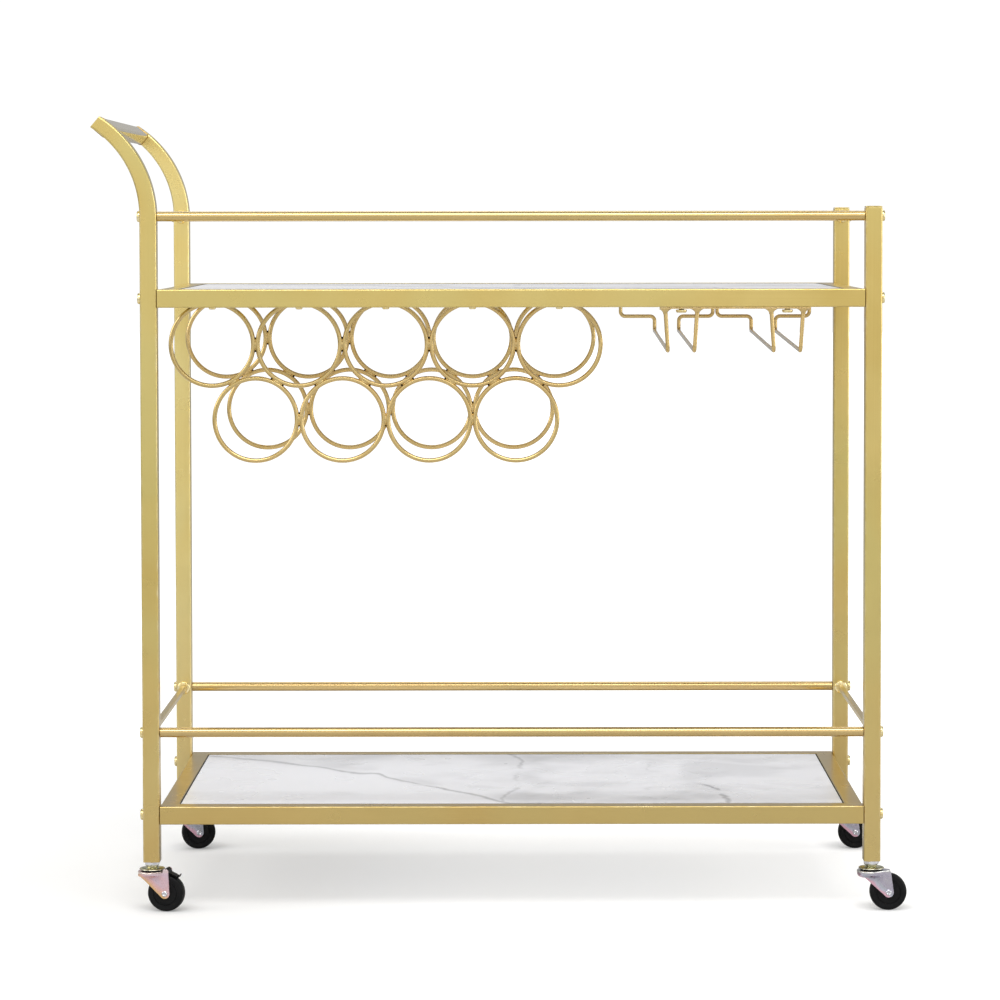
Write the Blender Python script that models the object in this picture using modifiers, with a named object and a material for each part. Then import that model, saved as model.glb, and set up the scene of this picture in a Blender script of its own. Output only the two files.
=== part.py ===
"""Two-tier bar cart on four swivel casters.

Metres, +Z up, standing on z = 0. The long side runs along X with the push handle at -X, and the
origin is under the middle of the bounding box. Every piece is one closed solid and one object.
"""
import math

import bmesh
import bpy
from mathutils import Matrix, Vector

# ---- driving dimensions ------------------------------------------------------------------------
GAP = 0.0003                      # left between pieces that touch

# Posts and shelf frames
FRAME_LENGTH = 0.8136             # over the outer faces of the posts, along X
FRAME_DEPTH = 0.400               # over the outer faces of the posts, along Y
POST_WIDTH = 0.0185               # post tube along X
TUBE = 0.020                      # post tube along Y, and every side of the shelf tube
WALL = 0.0012
HOLE_SIDES = 10
POST_BOTTOM = 0.055
POST_TOP = 0.776
POST_PLUG = 0.022                 # solid threaded end that takes the caster stem
UPPER_SHELF_TOP = 0.687
LOWER_SHELF_TOP = 0.117
UPPER_RAIL_Z = 0.767
LOWER_RAIL_Z = 0.198
CAP_HEIGHT = 0.0015
CAP_SKIRT = 0.004

# Bent handle at the tops of the -X posts
INNER_BEND = 0.1148               # radius of the hollow side of the bend
OUTER_BEND = 0.1328
INNER_BEND_Z = 0.7677
OUTER_BEND_Z = 0.7646
BEND_ANGLE = math.radians(57.5)
BEND_STEPS = 10
BAR_WIDTH = 0.0185                # handle bar, along the post's run
BAR_CORNER = 0.0035

# Guard rails
ROUND_RAIL_R = 0.0055
ROUND_RAIL_BORE = 0.0043
SIDE_RAIL = 0.0065                # square side rail
SIDE_FLANGE_R = 0.0065
SIDE_FLANGE = 0.0025

# Panels and the flat bars under them
PANEL_GAP = 0.0008
PANEL_RECESS = 0.0005
PANEL_THICKNESS = 0.0117
CROSS_BAR_WIDTH = 0.020
CROSS_BAR_HEIGHT = 0.004
UPPER_CROSS_BARS = (-0.2865, 0.0053, 0.2453)
LOWER_CROSS_BARS = (-0.2500, 0.0, 0.2500)

# Frame bolts, along X through each post
BOLT_R = 0.003
BOLT_HOLE_R = 0.0033
BOLT_HEAD_R = 0.0062
BOLT_HEAD = 0.003
BOLT_REACH = 0.012                # length of shank past the post
END_BLOCK = 0.010                 # solid end of a shelf rail, drilled for the bolt

# Bottle rings: two upright racks of welded wire rings
RING_PITCH = 0.09725
RING_WIRE_R = 0.0026
RING_R = 0.0462                   # to the middle of the wire
RING_TOP_COUNT = 5
RING_BOTTOM_COUNT = 4
RING_FIRST_X = -0.3351
RING_TOP_Z = 0.6238
RACK_Y = 0.1157
REAR_RACK_SHIFT = -0.003
RING_TAB = (0.012, 0.014, 0.0016)
RING_SIDES = 24
RING_WIRE_SIDES = 6

# Stemware hanger
HANGER_WIRE_R = 0.00225
HANGER_PAIRS = (0.187, 0.3035)    # X of the middle of each pair of wires
HANGER_SPREAD = 0.0146            # from a pair's middle to each wire
HANGER_LEG_SPLAY = 0.003
HANGER_UPRIGHT = 0.0556           # from a pair's middle to each rear upright
HANGER_FRONT_Z = 0.6183
HANGER_REAR_Z = 0.629
HANGER_SHOULDER_Z = 0.6466
HANGER_FRONT_Y = -0.188
HANGER_REAR_Y = 0.188
HANGER_BEND_R = 0.0055
HANGER_BEND_STEPS = 2
STRIP = (0.018, 0.0016)           # width along Y, thickness
STRIP_MARGIN = 0.006
SMALL_BOLT_R = 0.0025
SMALL_HOLE_R = 0.0028
SMALL_HEAD_R = 0.006
SMALL_BOLT_REACH = 0.010

# Casters, measured from the swivel axis and the wheel's axle
WHEEL_R = 0.0205
WHEEL_HALF = 0.0065
WHEEL_BORE_R = 0.00275
WHEEL_SIDES = 24
HUB_HALF = 0.0070
HUB_R = 0.0055
PLAIN_TRAIL = 0.0185
BRAKE_TRAIL = 0.0160
DISC_R = 0.01425
DISC_TOP = 0.0487
DISC_BOTTOM = 0.0462
PLATE_TOP = 0.0450
PLATE_BOTTOM = 0.0430
PLATE_R = 0.015
PLAIN_PLATE_END = 0.020
BRAKE_PLATE_END = 0.014
LEG_INNER = 0.0073
LEG = 0.0018
LEG_END_R = 0.0055
STEM_R = 0.004
STEM_HOLE_R = 0.0043
STEM_TOP = 0.078
NUT_FLATS = 0.013
KINGPIN_R = 0.003
KINGPIN_HOLE_R = 0.0033
KINGPIN_HEAD_R = 0.005
KINGPIN_HEAD_BOTTOM = 0.0415
AXLE_R = 0.0025
AXLE_HOLE_R = 0.0028
AXLE_HEAD_R = 0.0032
AXLE_HEAD = 0.0012

# Brake lever on the two casters under the handle
BRAKE_PIVOT = (0.0170, 0.0444)    # X behind the swivel axis, and Z
BRAKE_PIN_R = 0.0014
BRAKE_HOLE_R = 0.0017
BRAKE_EAR_R = 0.0034
BRAKE_CHEEK_R = 0.0037
BRAKE_HALF = 0.0112
BRAKE_SHOE_INNER = 0.0221         # radii from the wheel's axle
BRAKE_SHOE_OUTER = 0.0241
BRAKE_SHOE_START = math.radians(14)
BRAKE_SHOE_END = math.radians(40)
BRAKE_TIP = 0.0035

# Casters: name, side along X, side along Y, turn of the trailing side about +Z, has a brake
CASTERS = (
    ("front_left", -1, -1, math.radians(-9), True),
    ("rear_left", -1, 1, math.radians(9), True),
    ("front_right", 1, -1, 0.0, False),
    ("rear_right", 1, 1, 0.0, False),
)

# ---- derived dimensions ------------------------------------------------------------------------
HALF_LENGTH = FRAME_LENGTH / 2
HALF_DEPTH = FRAME_DEPTH / 2
POST_INNER = HALF_LENGTH - POST_WIDTH
POST_X = HALF_LENGTH - POST_WIDTH / 2
POST_Y = HALF_DEPTH - TUBE / 2
RAIL_INNER_Y = HALF_DEPTH - TUBE
BEND_LEFT = -HALF_LENGTH - INNER_BEND * (1 - math.cos(BEND_ANGLE))
WHEEL_RIGHT = POST_X + PLAIN_TRAIL + WHEEL_R
SHIFT = Vector((-(BEND_LEFT + WHEEL_RIGHT) / 2, 0, 0))      # centres the bounding box on x = 0
RING_BOTTOM_Z = RING_TOP_Z - RING_PITCH * math.sqrt(3) / 2
STRIP_TOP = UPPER_SHELF_TOP - TUBE - GAP

SIDES = {"left": -1, "right": 1}
ENDS = {"front": -1, "rear": 1}
AXIS_X = Matrix.Rotation(math.radians(90), 4, "Y")
AXIS_Y = Matrix.Rotation(math.radians(-90), 4, "X")


# ---- scene -------------------------------------------------------------------------------------
def clear_scene():
    for item in list(bpy.data.objects):
        bpy.data.objects.remove(item)


def make_collection(name):
    collection = bpy.data.collections.new(name)
    bpy.context.scene.collection.children.link(collection)
    return collection


def make_material(name, colour, roughness, metallic):
    material = bpy.data.materials.new(name)
    material.use_nodes = True
    shader = material.node_tree.nodes["Principled BSDF"]
    shader.inputs["Base Color"].default_value = (*colour, 1)
    shader.inputs["Roughness"].default_value = roughness
    shader.inputs["Metallic"].default_value = metallic
    material.diffuse_color = (*colour, 1)
    return material


def add_part(name, mesh, look, place=(0, 0, 0), turn=0.0, parent=None):
    """Put a mesh in the cart as a named part with its own material."""
    part = bpy.data.objects.new(name, mesh)
    CART.objects.link(part)
    part.location = place
    part.rotation_euler = (0, 0, turn)
    part.parent = parent if parent else ROOT
    part_mesh = mesh if mesh.users == 1 else mesh.copy()
    part.data = part_mesh
    part_mesh.name = name
    part_mesh.shade_smooth()
    part_mesh.set_sharp_from_angle(angle=math.radians(35))
    part_mesh.materials.clear()
    part_mesh.materials.append(make_material(name, *look))
    return part


def add_empty(name, place, turn, parent):
    empty = bpy.data.objects.new(name, None)
    CART.objects.link(empty)
    empty.location = place
    empty.rotation_euler = (0, 0, turn)
    empty.parent = parent
    return empty


# ---- solids, each returned as a mesh -------------------------------------------------------------
def mesh_from(work):
    mesh = bpy.data.meshes.new("solid")
    work.to_mesh(mesh)
    work.free()
    return mesh


def box(low, high):
    low, high = Vector(low), Vector(high)
    work = bmesh.new()
    bmesh.ops.create_cube(work, size=1)
    bmesh.ops.scale(work, verts=work.verts, vec=high - low)
    bmesh.ops.translate(work, verts=work.verts, vec=(low + high) / 2)
    return mesh_from(work)


def cylinder(radius, length, middle, direction=None, sides=12):
    """A cylinder along Z, or along the axis that the direction matrix turns Z to."""
    work = bmesh.new()
    bmesh.ops.create_cone(work, cap_ends=True, segments=sides, radius1=radius, radius2=radius, depth=length)
    place = Matrix.Translation(middle) @ (direction or Matrix.Identity(4))
    bmesh.ops.transform(work, matrix=place, verts=work.verts)
    return mesh_from(work)


def evaluated(work_object):
    """The object's evaluated mesh, with the object and its source removed."""
    bpy.context.view_layer.update()
    graph = bpy.context.evaluated_depsgraph_get()
    mesh = bpy.data.meshes.new_from_object(work_object.evaluated_get(graph))
    mesh.transform(work_object.matrix_world)
    bpy.data.objects.remove(work_object)
    return mesh


def work_object(data):
    item = bpy.data.objects.new("work", data)
    bpy.context.scene.collection.objects.link(item)
    return item


def lathe(profile, sides, direction=None, middle=(0, 0, 0)):
    """Turn an open (radius, height) profile, given from its top on the axis to its bottom, about Z."""
    work = bmesh.new()
    points = [work.verts.new((radius, 0, height)) for radius, height in profile]
    closed = profile[0][0] > 0
    for first, second in zip(points, points[1:]):
        work.edges.new((first, second))
    if closed:
        work.edges.new((points[-1], points[0]))
    item = work_object(mesh_from(work))
    screw = item.modifiers.new("Screw", "SCREW")
    screw.axis = "Z"
    screw.steps = sides
    screw.render_steps = sides
    screw.use_merge_vertices = True
    screw.merge_threshold = 0.00001
    screw.use_smooth_shade = False
    item.matrix_world = Matrix.Translation(middle) @ (direction or Matrix.Identity(4))
    return weld(evaluated(item))


def weld(mesh):
    work = bmesh.new()
    work.from_mesh(mesh)
    bmesh.ops.remove_doubles(work, verts=work.verts, dist=0.00001)
    bmesh.ops.recalc_face_normals(work, faces=work.faces)
    work.to_mesh(mesh)
    work.free()
    return mesh


def plate(points, low, high):
    """A flat outline in X and Z, filled and running from y = low to y = high."""
    curve = bpy.data.curves.new("outline", "CURVE")
    curve.dimensions = "2D"
    curve.fill_mode = "BOTH"
    curve.extrude = (high - low) / 2
    spline = curve.splines.new("POLY")
    spline.points.add(len(points) - 1)
    for target, (x, z) in zip(spline.points, points):
        target.co = (x, z, 0, 1)
    spline.use_cyclic_u = True
    item = work_object(curve)
    stand = Matrix.Rotation(math.radians(90), 4, "X")
    item.matrix_world = Matrix.Translation((0, (low + high) / 2, 0)) @ stand
    return weld(evaluated(item))


def wire(points, radius):
    curve = bpy.data.curves.new("wire", "CURVE")
    curve.dimensions = "3D"
    curve.bevel_depth = radius
    curve.bevel_resolution = 2
    curve.use_fill_caps = True
    spline = curve.splines.new("POLY")
    spline.points.add(len(points) - 1)
    for target, point in zip(spline.points, points):
        target.co = (*point, 1)
    return weld(evaluated(work_object(curve)))


def combine(operation, base, others):
    """Join or cut solids in one frame with exact Booleans."""
    target = work_object(base)
    tools = []
    for mesh in others:
        tool = work_object(mesh)
        step = target.modifiers.new("Boolean", "BOOLEAN")
        step.operation = operation
        step.solver = "EXACT"
        step.object = tool
        tools.append(tool)
    mesh = evaluated(target)
    for tool in tools:
        bpy.data.objects.remove(tool)
    return weld(mesh)


def join(base, *others):
    return combine("UNION", base, others)


def cut(base, *others):
    return combine("DIFFERENCE", base, others)


def arc(centre, radius, start, end, steps):
    """Points on an arc in X and Z, angles from +X towards +Z."""
    turns = [start + (end - start) * step / steps for step in range(steps + 1)]
    return [(centre[0] + radius * math.cos(turn), centre[1] + radius * math.sin(turn)) for turn in turns]


def rounded_path(points, radius, steps):
    """A path through the points, with each inner corner replaced by an arc."""
    points = [Vector(point) for point in points]
    path = [points[0]]
    for before, corner, after in zip(points, points[1:], points[2:]):
        arrive = (before - corner).normalized()
        leave = (after - corner).normalized()
        half = arrive.angle(leave) / 2
        reach = radius / math.tan(half)
        centre = corner + (arrive + leave).normalized() * radius / math.sin(half)
        first = corner + arrive * reach - centre
        last = corner + leave * reach - centre
        turn = first.angle(last)
        for step in range(steps + 1):
            share = step / steps
            spot = first * math.sin((1 - share) * turn) + last * math.sin(share * turn)
            path.append(centre + spot / math.sin(turn))
    path.append(points[-1])
    return path


# ---- posts -------------------------------------------------------------------------------------
BOLT_HEIGHTS = {
    "upper_rail": UPPER_RAIL_Z,
    "upper_shelf": UPPER_SHELF_TOP - TUBE / 2,
    "lower_rail": LOWER_RAIL_Z,
    "lower_shelf": LOWER_SHELF_TOP - TUBE / 2,
}


def post_drillings():
    """The four bolt holes along X and the stem hole in the bottom plug, about the post's axis."""
    across = POST_WIDTH * 2
    holes = [cylinder(BOLT_HOLE_R, across, (0, 0, z), AXIS_X, HOLE_SIDES) for z in BOLT_HEIGHTS.values()]
    return holes + [cylinder(STEM_HOLE_R, POST_PLUG * 4, (0, 0, POST_BOTTOM))]


def straight_post():
    half = Vector((POST_WIDTH / 2, TUBE / 2, 0))
    inside = half - Vector((WALL, WALL, 0))
    tube = box(-half + Vector((0, 0, POST_BOTTOM)), half + Vector((0, 0, POST_TOP)))
    bore_low = -inside + Vector((0, 0, POST_BOTTOM + POST_PLUG))
    bore_high = inside + Vector((0, 0, POST_TOP + WALL))
    return cut(tube, box(bore_low, bore_high), *post_drillings())


def bend_outline(inset, bottom, stop):
    """Side view of a bent post about its own axis, shrunk by inset and ending at angle stop."""
    left = -POST_WIDTH / 2 + inset
    right = POST_WIDTH / 2 - inset
    inner = INNER_BEND + inset
    outer = OUTER_BEND - inset
    inner_side = arc((left - inner, INNER_BEND_Z), inner, 0, stop, BEND_STEPS)
    outer_side = arc((right - outer, OUTER_BEND_Z), outer, 0, stop, BEND_STEPS)
    return [(left, bottom)] + inner_side + outer_side[::-1] + [(right, bottom)]


def bent_post():
    """A post whose closed top is bent towards -X, thinner on the bend where the tube was drawn."""
    end_wall = 2 * WALL / INNER_BEND
    half = TUBE / 2
    tube = plate(bend_outline(0, POST_BOTTOM, BEND_ANGLE), -half, half)
    inside = bend_outline(WALL, POST_BOTTOM + POST_PLUG, BEND_ANGLE - end_wall)
    return cut(tube, plate(inside, WALL - half, half - WALL), *post_drillings())


def handle_bar():
    """The grip: a tube across the two bends, level with their cut ends."""
    low = Vector(arc((-POST_WIDTH / 2 - INNER_BEND, INNER_BEND_Z), INNER_BEND, BEND_ANGLE, BEND_ANGLE, 1)[0])
    high = Vector(arc((POST_WIDTH / 2 - OUTER_BEND, OUTER_BEND_Z), OUTER_BEND, BEND_ANGLE, BEND_ANGLE, 1)[0])
    across = (high - low).normalized()
    along = Vector((across.y, -across.x))
    thickness = (high - low).length

    def section(inset):
        points = []
        corner = BAR_CORNER - inset
        for u, v, start in ((1, 1, 0), (0, 1, 90), (0, 0, 180), (1, 0, 270)):
            middle_u = u * BAR_WIDTH + (1 - 2 * u) * BAR_CORNER
            middle_v = v * thickness + (1 - 2 * v) * BAR_CORNER
            quarter = arc((middle_u, middle_v), corner, math.radians(start), math.radians(start + 90), 3)
            points += [tuple(low + along * a + across * b) for a, b in quarter]
        return points

    half = RAIL_INNER_Y - GAP
    tube = plate(section(0), -half, half)
    return cut(tube, plate(section(WALL), -half - TUBE, half + TUBE))


def post_cap():
    half = Vector((POST_WIDTH / 2, TUBE / 2, 0))
    inside = half - Vector((WALL + GAP, WALL + GAP, 0))
    top = box(-half + Vector((0, 0, GAP)), half + Vector((0, 0, GAP + CAP_HEIGHT)))
    skirt = box(-inside - Vector((0, 0, CAP_SKIRT)), inside + Vector((0, 0, CAP_HEIGHT / 2)))
    return join(top, skirt)


# ---- shelves -----------------------------------------------------------------------------------
def shelf_frame(top, cross_bars):
    """A welded frame of square tube with drilled solid ends and flat bars under the panel."""
    bottom = top - TUBE
    end = POST_INNER - GAP
    inner_x = end - TUBE
    outer = box((-end, -HALF_DEPTH, bottom), (end, HALF_DEPTH, top))
    window = box((-inner_x, -RAIL_INNER_Y, bottom - TUBE), (inner_x, RAIL_INNER_Y, top + TUBE))
    frame = cut(outer, window)
    bar_top = top - PANEL_RECESS - PANEL_THICKNESS - GAP
    reach = RAIL_INNER_Y + WALL / 2
    half = CROSS_BAR_WIDTH / 2
    bars = [box((x - half, -reach, bar_top - CROSS_BAR_HEIGHT), (x + half, reach, bar_top)) for x in cross_bars]
    frame = join(frame, *bars)
    hollows = []
    low_z = bottom + WALL
    high_z = top - WALL
    rail_x = end - END_BLOCK
    tube_y = RAIL_INNER_Y + TUBE / 2
    for side in (-1, 1):
        near_y, far_y = sorted((side * (RAIL_INNER_Y + WALL), side * (HALF_DEPTH - WALL)))
        near_x, far_x = sorted((side * (inner_x + WALL), side * (end - WALL)))
        hollows.append(box((-rail_x, near_y, low_z), (rail_x, far_y, high_z)))
        hollows.append(box((near_x, -tube_y, low_z), (far_x, tube_y, high_z)))
    cavity = join(hollows[0], *hollows[1:])
    holes = []
    for side_x in (-1, 1):
        for side_y in (-1, 1):
            middle = (side_x * end, side_y * POST_Y, top - TUBE / 2)
            holes.append(cylinder(BOLT_HOLE_R, END_BLOCK * 3, middle, AXIS_X, HOLE_SIDES))
    return cut(frame, cavity, *holes)


def panel(top):
    x = POST_INNER - GAP - TUBE - PANEL_GAP
    y = RAIL_INNER_Y - PANEL_GAP
    high = top - PANEL_RECESS
    return box((-x, -y, high - PANEL_THICKNESS), (x, y, high))


# ---- guard rails -------------------------------------------------------------------------------
def round_rail():
    """A round tube along X whose ends are bored for the frame bolts."""
    half = POST_INNER - GAP
    sleeve = half - BOLT_REACH - 0.003
    profile = [
        (BOLT_HOLE_R, half),
        (ROUND_RAIL_R, half),
        (ROUND_RAIL_R, -half),
        (BOLT_HOLE_R, -half),
        (BOLT_HOLE_R, -sleeve),
        (ROUND_RAIL_BORE, -sleeve),
        (ROUND_RAIL_BORE, sleeve),
        (BOLT_HOLE_R, sleeve),
    ]
    return lathe(profile, 14, AXIS_X)


def side_rail():
    """A slim square bar along Y with a round flange at each end."""
    half = RAIL_INNER_Y - GAP
    side = SIDE_RAIL / 2
    bar = box((-side, -half, -side), (side, half, side))
    flange_y = half - SIDE_FLANGE / 2
    flanges = [cylinder(SIDE_FLANGE_R, SIDE_FLANGE, (0, y, 0), AXIS_Y, 16) for y in (-flange_y, flange_y)]
    return join(bar, *flanges)


# ---- bolts -------------------------------------------------------------------------------------
def bolt(shank_r, shank, head_r, head):
    """A domed bolt along Z with its head up and the underside of its head at z = 0."""
    profile = [
        (0, head),
        (head_r * 0.72, head * 0.7),
        (head_r, 0),
        (shank_r, 0),
        (shank_r, -shank),
        (0, -shank),
    ]
    return lathe(profile, HOLE_SIDES)


# ---- bottle rings ------------------------------------------------------------------------------
def ring_centres():
    top = [(RING_FIRST_X + RING_PITCH * i, RING_TOP_Z) for i in range(RING_TOP_COUNT)]
    bottom = [(RING_FIRST_X + RING_PITCH * (i + 0.5), RING_BOTTOM_Z) for i in range(RING_BOTTOM_COUNT)]
    return top, bottom


def ring(x, z):
    bpy.ops.mesh.primitive_torus_add(
        major_radius=RING_R,
        minor_radius=RING_WIRE_R,
        major_segments=RING_SIDES,
        minor_segments=RING_WIRE_SIDES,
    )
    item = bpy.context.object
    item.matrix_world = Matrix.Translation((x, 0, z)) @ AXIS_Y
    return evaluated(item)


def ring_rack():
    """Rings welded where they touch, with a screw tab under the top of each upper ring."""
    top, bottom = ring_centres()
    rings = [ring(x, z) for x, z in top + bottom]
    width, depth, thickness = RING_TAB
    tab_z = RING_TOP_Z + RING_R - RING_WIRE_R
    tabs = []
    for x, _ in top:
        low = (x - width / 2, -depth / 4, tab_z - thickness * 0.7)
        high = (x + width / 2, depth * 3 / 4, tab_z + thickness * 0.3)
        tabs.append(box(low, high))
    return join(rings[0], *rings[1:], *tabs)


# ---- stemware hanger ---------------------------------------------------------------------------
def hanger_wire(pair_x, side):
    """One bent wire: down from the front strip, back under the shelf, and up by an outer shoulder."""
    x = pair_x + side * HANGER_SPREAD
    outer = pair_x + side * HANGER_UPRIGHT
    top = STRIP_TOP - STRIP[1] / 2
    points = [
        (x + side * HANGER_LEG_SPLAY, HANGER_FRONT_Y, top),
        (x, HANGER_FRONT_Y, HANGER_FRONT_Z),
        (x, HANGER_REAR_Y, HANGER_REAR_Z),
        (x, HANGER_REAR_Y, HANGER_SHOULDER_Z),
        (outer, HANGER_REAR_Y, HANGER_SHOULDER_Z),
        (outer, HANGER_REAR_Y, top),
    ]
    return wire(rounded_path(points, HANGER_BEND_R, HANGER_BEND_STEPS), HANGER_WIRE_R)


def hanger_strip(y, reach):
    low_x = HANGER_PAIRS[0] - reach - STRIP_MARGIN
    high_x = HANGER_PAIRS[1] + reach + STRIP_MARGIN
    half = STRIP[0] / 2
    strip = box((low_x, y - half, STRIP_TOP - STRIP[1]), (high_x, y + half, STRIP_TOP))
    holes = [cylinder(SMALL_HOLE_R, STRIP[1] * 4, (x, y, STRIP_TOP), None, HOLE_SIDES) for x in HANGER_PAIRS]
    return cut(strip, *holes)


def stemware_hanger():
    front = hanger_strip(-POST_Y, HANGER_SPREAD + HANGER_LEG_SPLAY)
    rear = hanger_strip(POST_Y, HANGER_UPRIGHT)
    wires = [hanger_wire(x, side) for x in HANGER_PAIRS for side in (-1, 1)]
    return join(front, *wires, rear)


def hanger_nut_holes():
    """Holes in the underside of the upper shelf frame for the hanger's bolts."""
    low = UPPER_SHELF_TOP - TUBE
    places = [(x, y, low) for x in HANGER_PAIRS for y in (-POST_Y, POST_Y)]
    return [cylinder(SMALL_HOLE_R, WALL * 3, place, None, HOLE_SIDES) for place in places]


# ---- casters -----------------------------------------------------------------------------------
def caster_stem():
    """Threaded stem, hex nut, swivel disc and riveted kingpin, turned about the swivel axis."""
    nut_top = POST_BOTTOM - GAP
    profile = [
        (0, STEM_TOP),
        (STEM_R, STEM_TOP),
        (STEM_R, DISC_TOP),
        (DISC_R * 0.55, DISC_TOP),
        (DISC_R, DISC_TOP - 0.0008),
        (DISC_R, DISC_BOTTOM),
        (KINGPIN_R, DISC_BOTTOM),
        (KINGPIN_R, PLATE_BOTTOM - GAP),
        (KINGPIN_HEAD_R, PLATE_BOTTOM - GAP),
        (KINGPIN_HEAD_R, KINGPIN_HEAD_BOTTOM),
        (0, KINGPIN_HEAD_BOTTOM),
    ]
    nut_low = DISC_TOP - 0.0005
    middle = (0, 0, (nut_low + nut_top) / 2)
    nut = cylinder(NUT_FLATS / math.sqrt(3), nut_top - nut_low, middle, None, 6)
    return join(lathe(profile, 20), nut)


def leg_outline(trail, plate_end, has_brake):
    """Side view of a fork leg, from the plate to its round end about the axle."""
    top = PLATE_BOTTOM + 0.001
    end = arc((trail, WHEEL_R), LEG_END_R, math.radians(215), math.radians(370), 6)
    front = [(-0.0125, top), (-0.0115, PLATE_BOTTOM - 0.0025)]
    if has_brake:
        ear = arc(BRAKE_PIVOT, BRAKE_EAR_R, math.radians(-30), math.radians(180), 6)
        return front + end + ear + [(ear[-1][0], top)]
    flare = [(-0.0030, PLATE_BOTTOM - 0.0060)]
    return front + flare + end + [(plate_end, top)]


def caster_fork(trail, plate_end, has_brake):
    disc = cylinder(PLATE_R, PLATE_TOP - PLATE_BOTTOM, (0, 0, (PLATE_TOP + PLATE_BOTTOM) / 2), None, 20)
    leg_outer = LEG_INNER + LEG
    bridge = box((0, -leg_outer, PLATE_BOTTOM), (plate_end, leg_outer, PLATE_TOP))
    outline = leg_outline(trail, plate_end, has_brake)
    legs = [plate(outline, -leg_outer, -LEG_INNER), plate(outline, LEG_INNER, leg_outer)]
    body = join(disc, bridge, *legs)
    holes = [
        cylinder(KINGPIN_HOLE_R, PLATE_R, (0, 0, PLATE_BOTTOM)),
        cylinder(AXLE_HOLE_R, LEG_INNER * 4, (trail, 0, WHEEL_R), AXIS_Y),
    ]
    if has_brake:
        pivot = (BRAKE_PIVOT[0], 0, BRAKE_PIVOT[1])
        holes.append(cylinder(BRAKE_HOLE_R, LEG_INNER * 4, pivot, AXIS_Y))
    return cut(body, *holes)


def axle_rivet():
    """The wheel's rivet along Y, headed outside both legs."""
    shoulder = LEG_INNER + LEG + GAP
    end = shoulder + AXLE_HEAD
    profile = [
        (0, end),
        (AXLE_HEAD_R * 0.7, end),
        (AXLE_HEAD_R, shoulder + AXLE_HEAD * 0.4),
        (AXLE_HEAD_R, shoulder),
        (AXLE_R, shoulder),
        (AXLE_R, -shoulder),
        (AXLE_HEAD_R, -shoulder),
        (AXLE_HEAD_R, -shoulder - AXLE_HEAD * 0.4),
        (AXLE_HEAD_R * 0.7, -end),
        (0, -end),
    ]
    return lathe(profile, 10, AXIS_Y)


def wheel():
    """A solid wheel about Y. Its flats touch the floor at WHEEL_R."""
    tread_r = WHEEL_R / math.cos(math.pi / WHEEL_SIDES)
    shoulder = WHEEL_HALF - 0.0018
    half = [
        (WHEEL_BORE_R, HUB_HALF),
        (HUB_R, HUB_HALF),
        (HUB_R, WHEEL_HALF),
        (tread_r * 0.92, WHEEL_HALF),
        (tread_r, shoulder),
    ]
    profile = half + [(radius, -height) for radius, height in reversed(half)]
    half_step = Matrix.Rotation(math.pi / WHEEL_SIDES, 4, "Z")
    return lathe(profile, WHEEL_SIDES, AXIS_Y @ half_step)


def brake_lever():
    """A pedal that straddles the fork's ears and presses a curved shoe on the tread."""
    axle = (BRAKE_TRAIL, WHEEL_R)
    start = math.pi / 2 - BRAKE_SHOE_START
    end = math.pi / 2 - BRAKE_SHOE_END
    outer = arc(axle, BRAKE_SHOE_OUTER, start, end, 5)
    inner = arc(axle, BRAKE_SHOE_INNER, end, start, 5)
    outward = Vector((math.cos(end), math.sin(end)))
    tip = tuple(Vector(outer[-1]) + outward * BRAKE_TIP + Vector((0.0012, 0)))
    tip_low = tuple(Vector(inner[0]) + Vector((0.0016, -0.0004)))
    root = arc(BRAKE_PIVOT, BRAKE_CHEEK_R, math.radians(240), math.radians(60), 8)
    lever = plate(root + outer + [tip, tip_low] + inner, -BRAKE_HALF, BRAKE_HALF)
    slot_half = LEG_INNER + LEG + GAP
    slot_end = BRAKE_PIVOT[0] + BRAKE_EAR_R + GAP
    low = PLATE_BOTTOM - TUBE
    slot = box((-TUBE, -slot_half, low), (slot_end, slot_half, PLATE_TOP + TUBE))
    pin = cylinder(BRAKE_PIN_R, BRAKE_HALF * 2 - 0.001, (BRAKE_PIVOT[0], 0, BRAKE_PIVOT[1]), AXIS_Y, 8)
    return join(cut(lever, slot), pin)


# ---- build -------------------------------------------------------------------------------------
clear_scene()
CART = make_collection("bar_cart")
ROOT = add_empty("cart_axes", SHIFT, 0.0, None)

GOLD = ((0.55, 0.42, 0.17), 0.32, 0.75)
BRASS = ((0.75, 0.58, 0.22), 0.22, 1.0)
MARBLE = ((0.82, 0.82, 0.84), 0.25, 0.0)
ZINC = ((0.72, 0.68, 0.58), 0.30, 1.0)
BLACK = ((0.012, 0.012, 0.013), 0.45, 0.0)


def build_posts():
    bent = bent_post()
    straight = straight_post()
    cap = post_cap()
    for end, side_y in ENDS.items():
        add_part(f"{end}_left_post", bent, GOLD, (-POST_X, side_y * POST_Y, 0))
        add_part(f"{end}_right_post", straight, GOLD, (POST_X, side_y * POST_Y, 0))
        add_part(f"{end}_right_post_cap", cap, GOLD, (POST_X, side_y * POST_Y, POST_TOP))
    add_part("handle_bar", handle_bar(), GOLD, (-POST_X, 0, 0))


def build_shelves():
    upper = cut(shelf_frame(UPPER_SHELF_TOP, UPPER_CROSS_BARS), *hanger_nut_holes())
    add_part("upper_shelf_frame", upper, GOLD)
    add_part("lower_shelf_frame", shelf_frame(LOWER_SHELF_TOP, LOWER_CROSS_BARS), GOLD)
    add_part("upper_shelf_panel", panel(UPPER_SHELF_TOP), MARBLE)
    add_part("lower_shelf_panel", panel(LOWER_SHELF_TOP), MARBLE)


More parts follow.
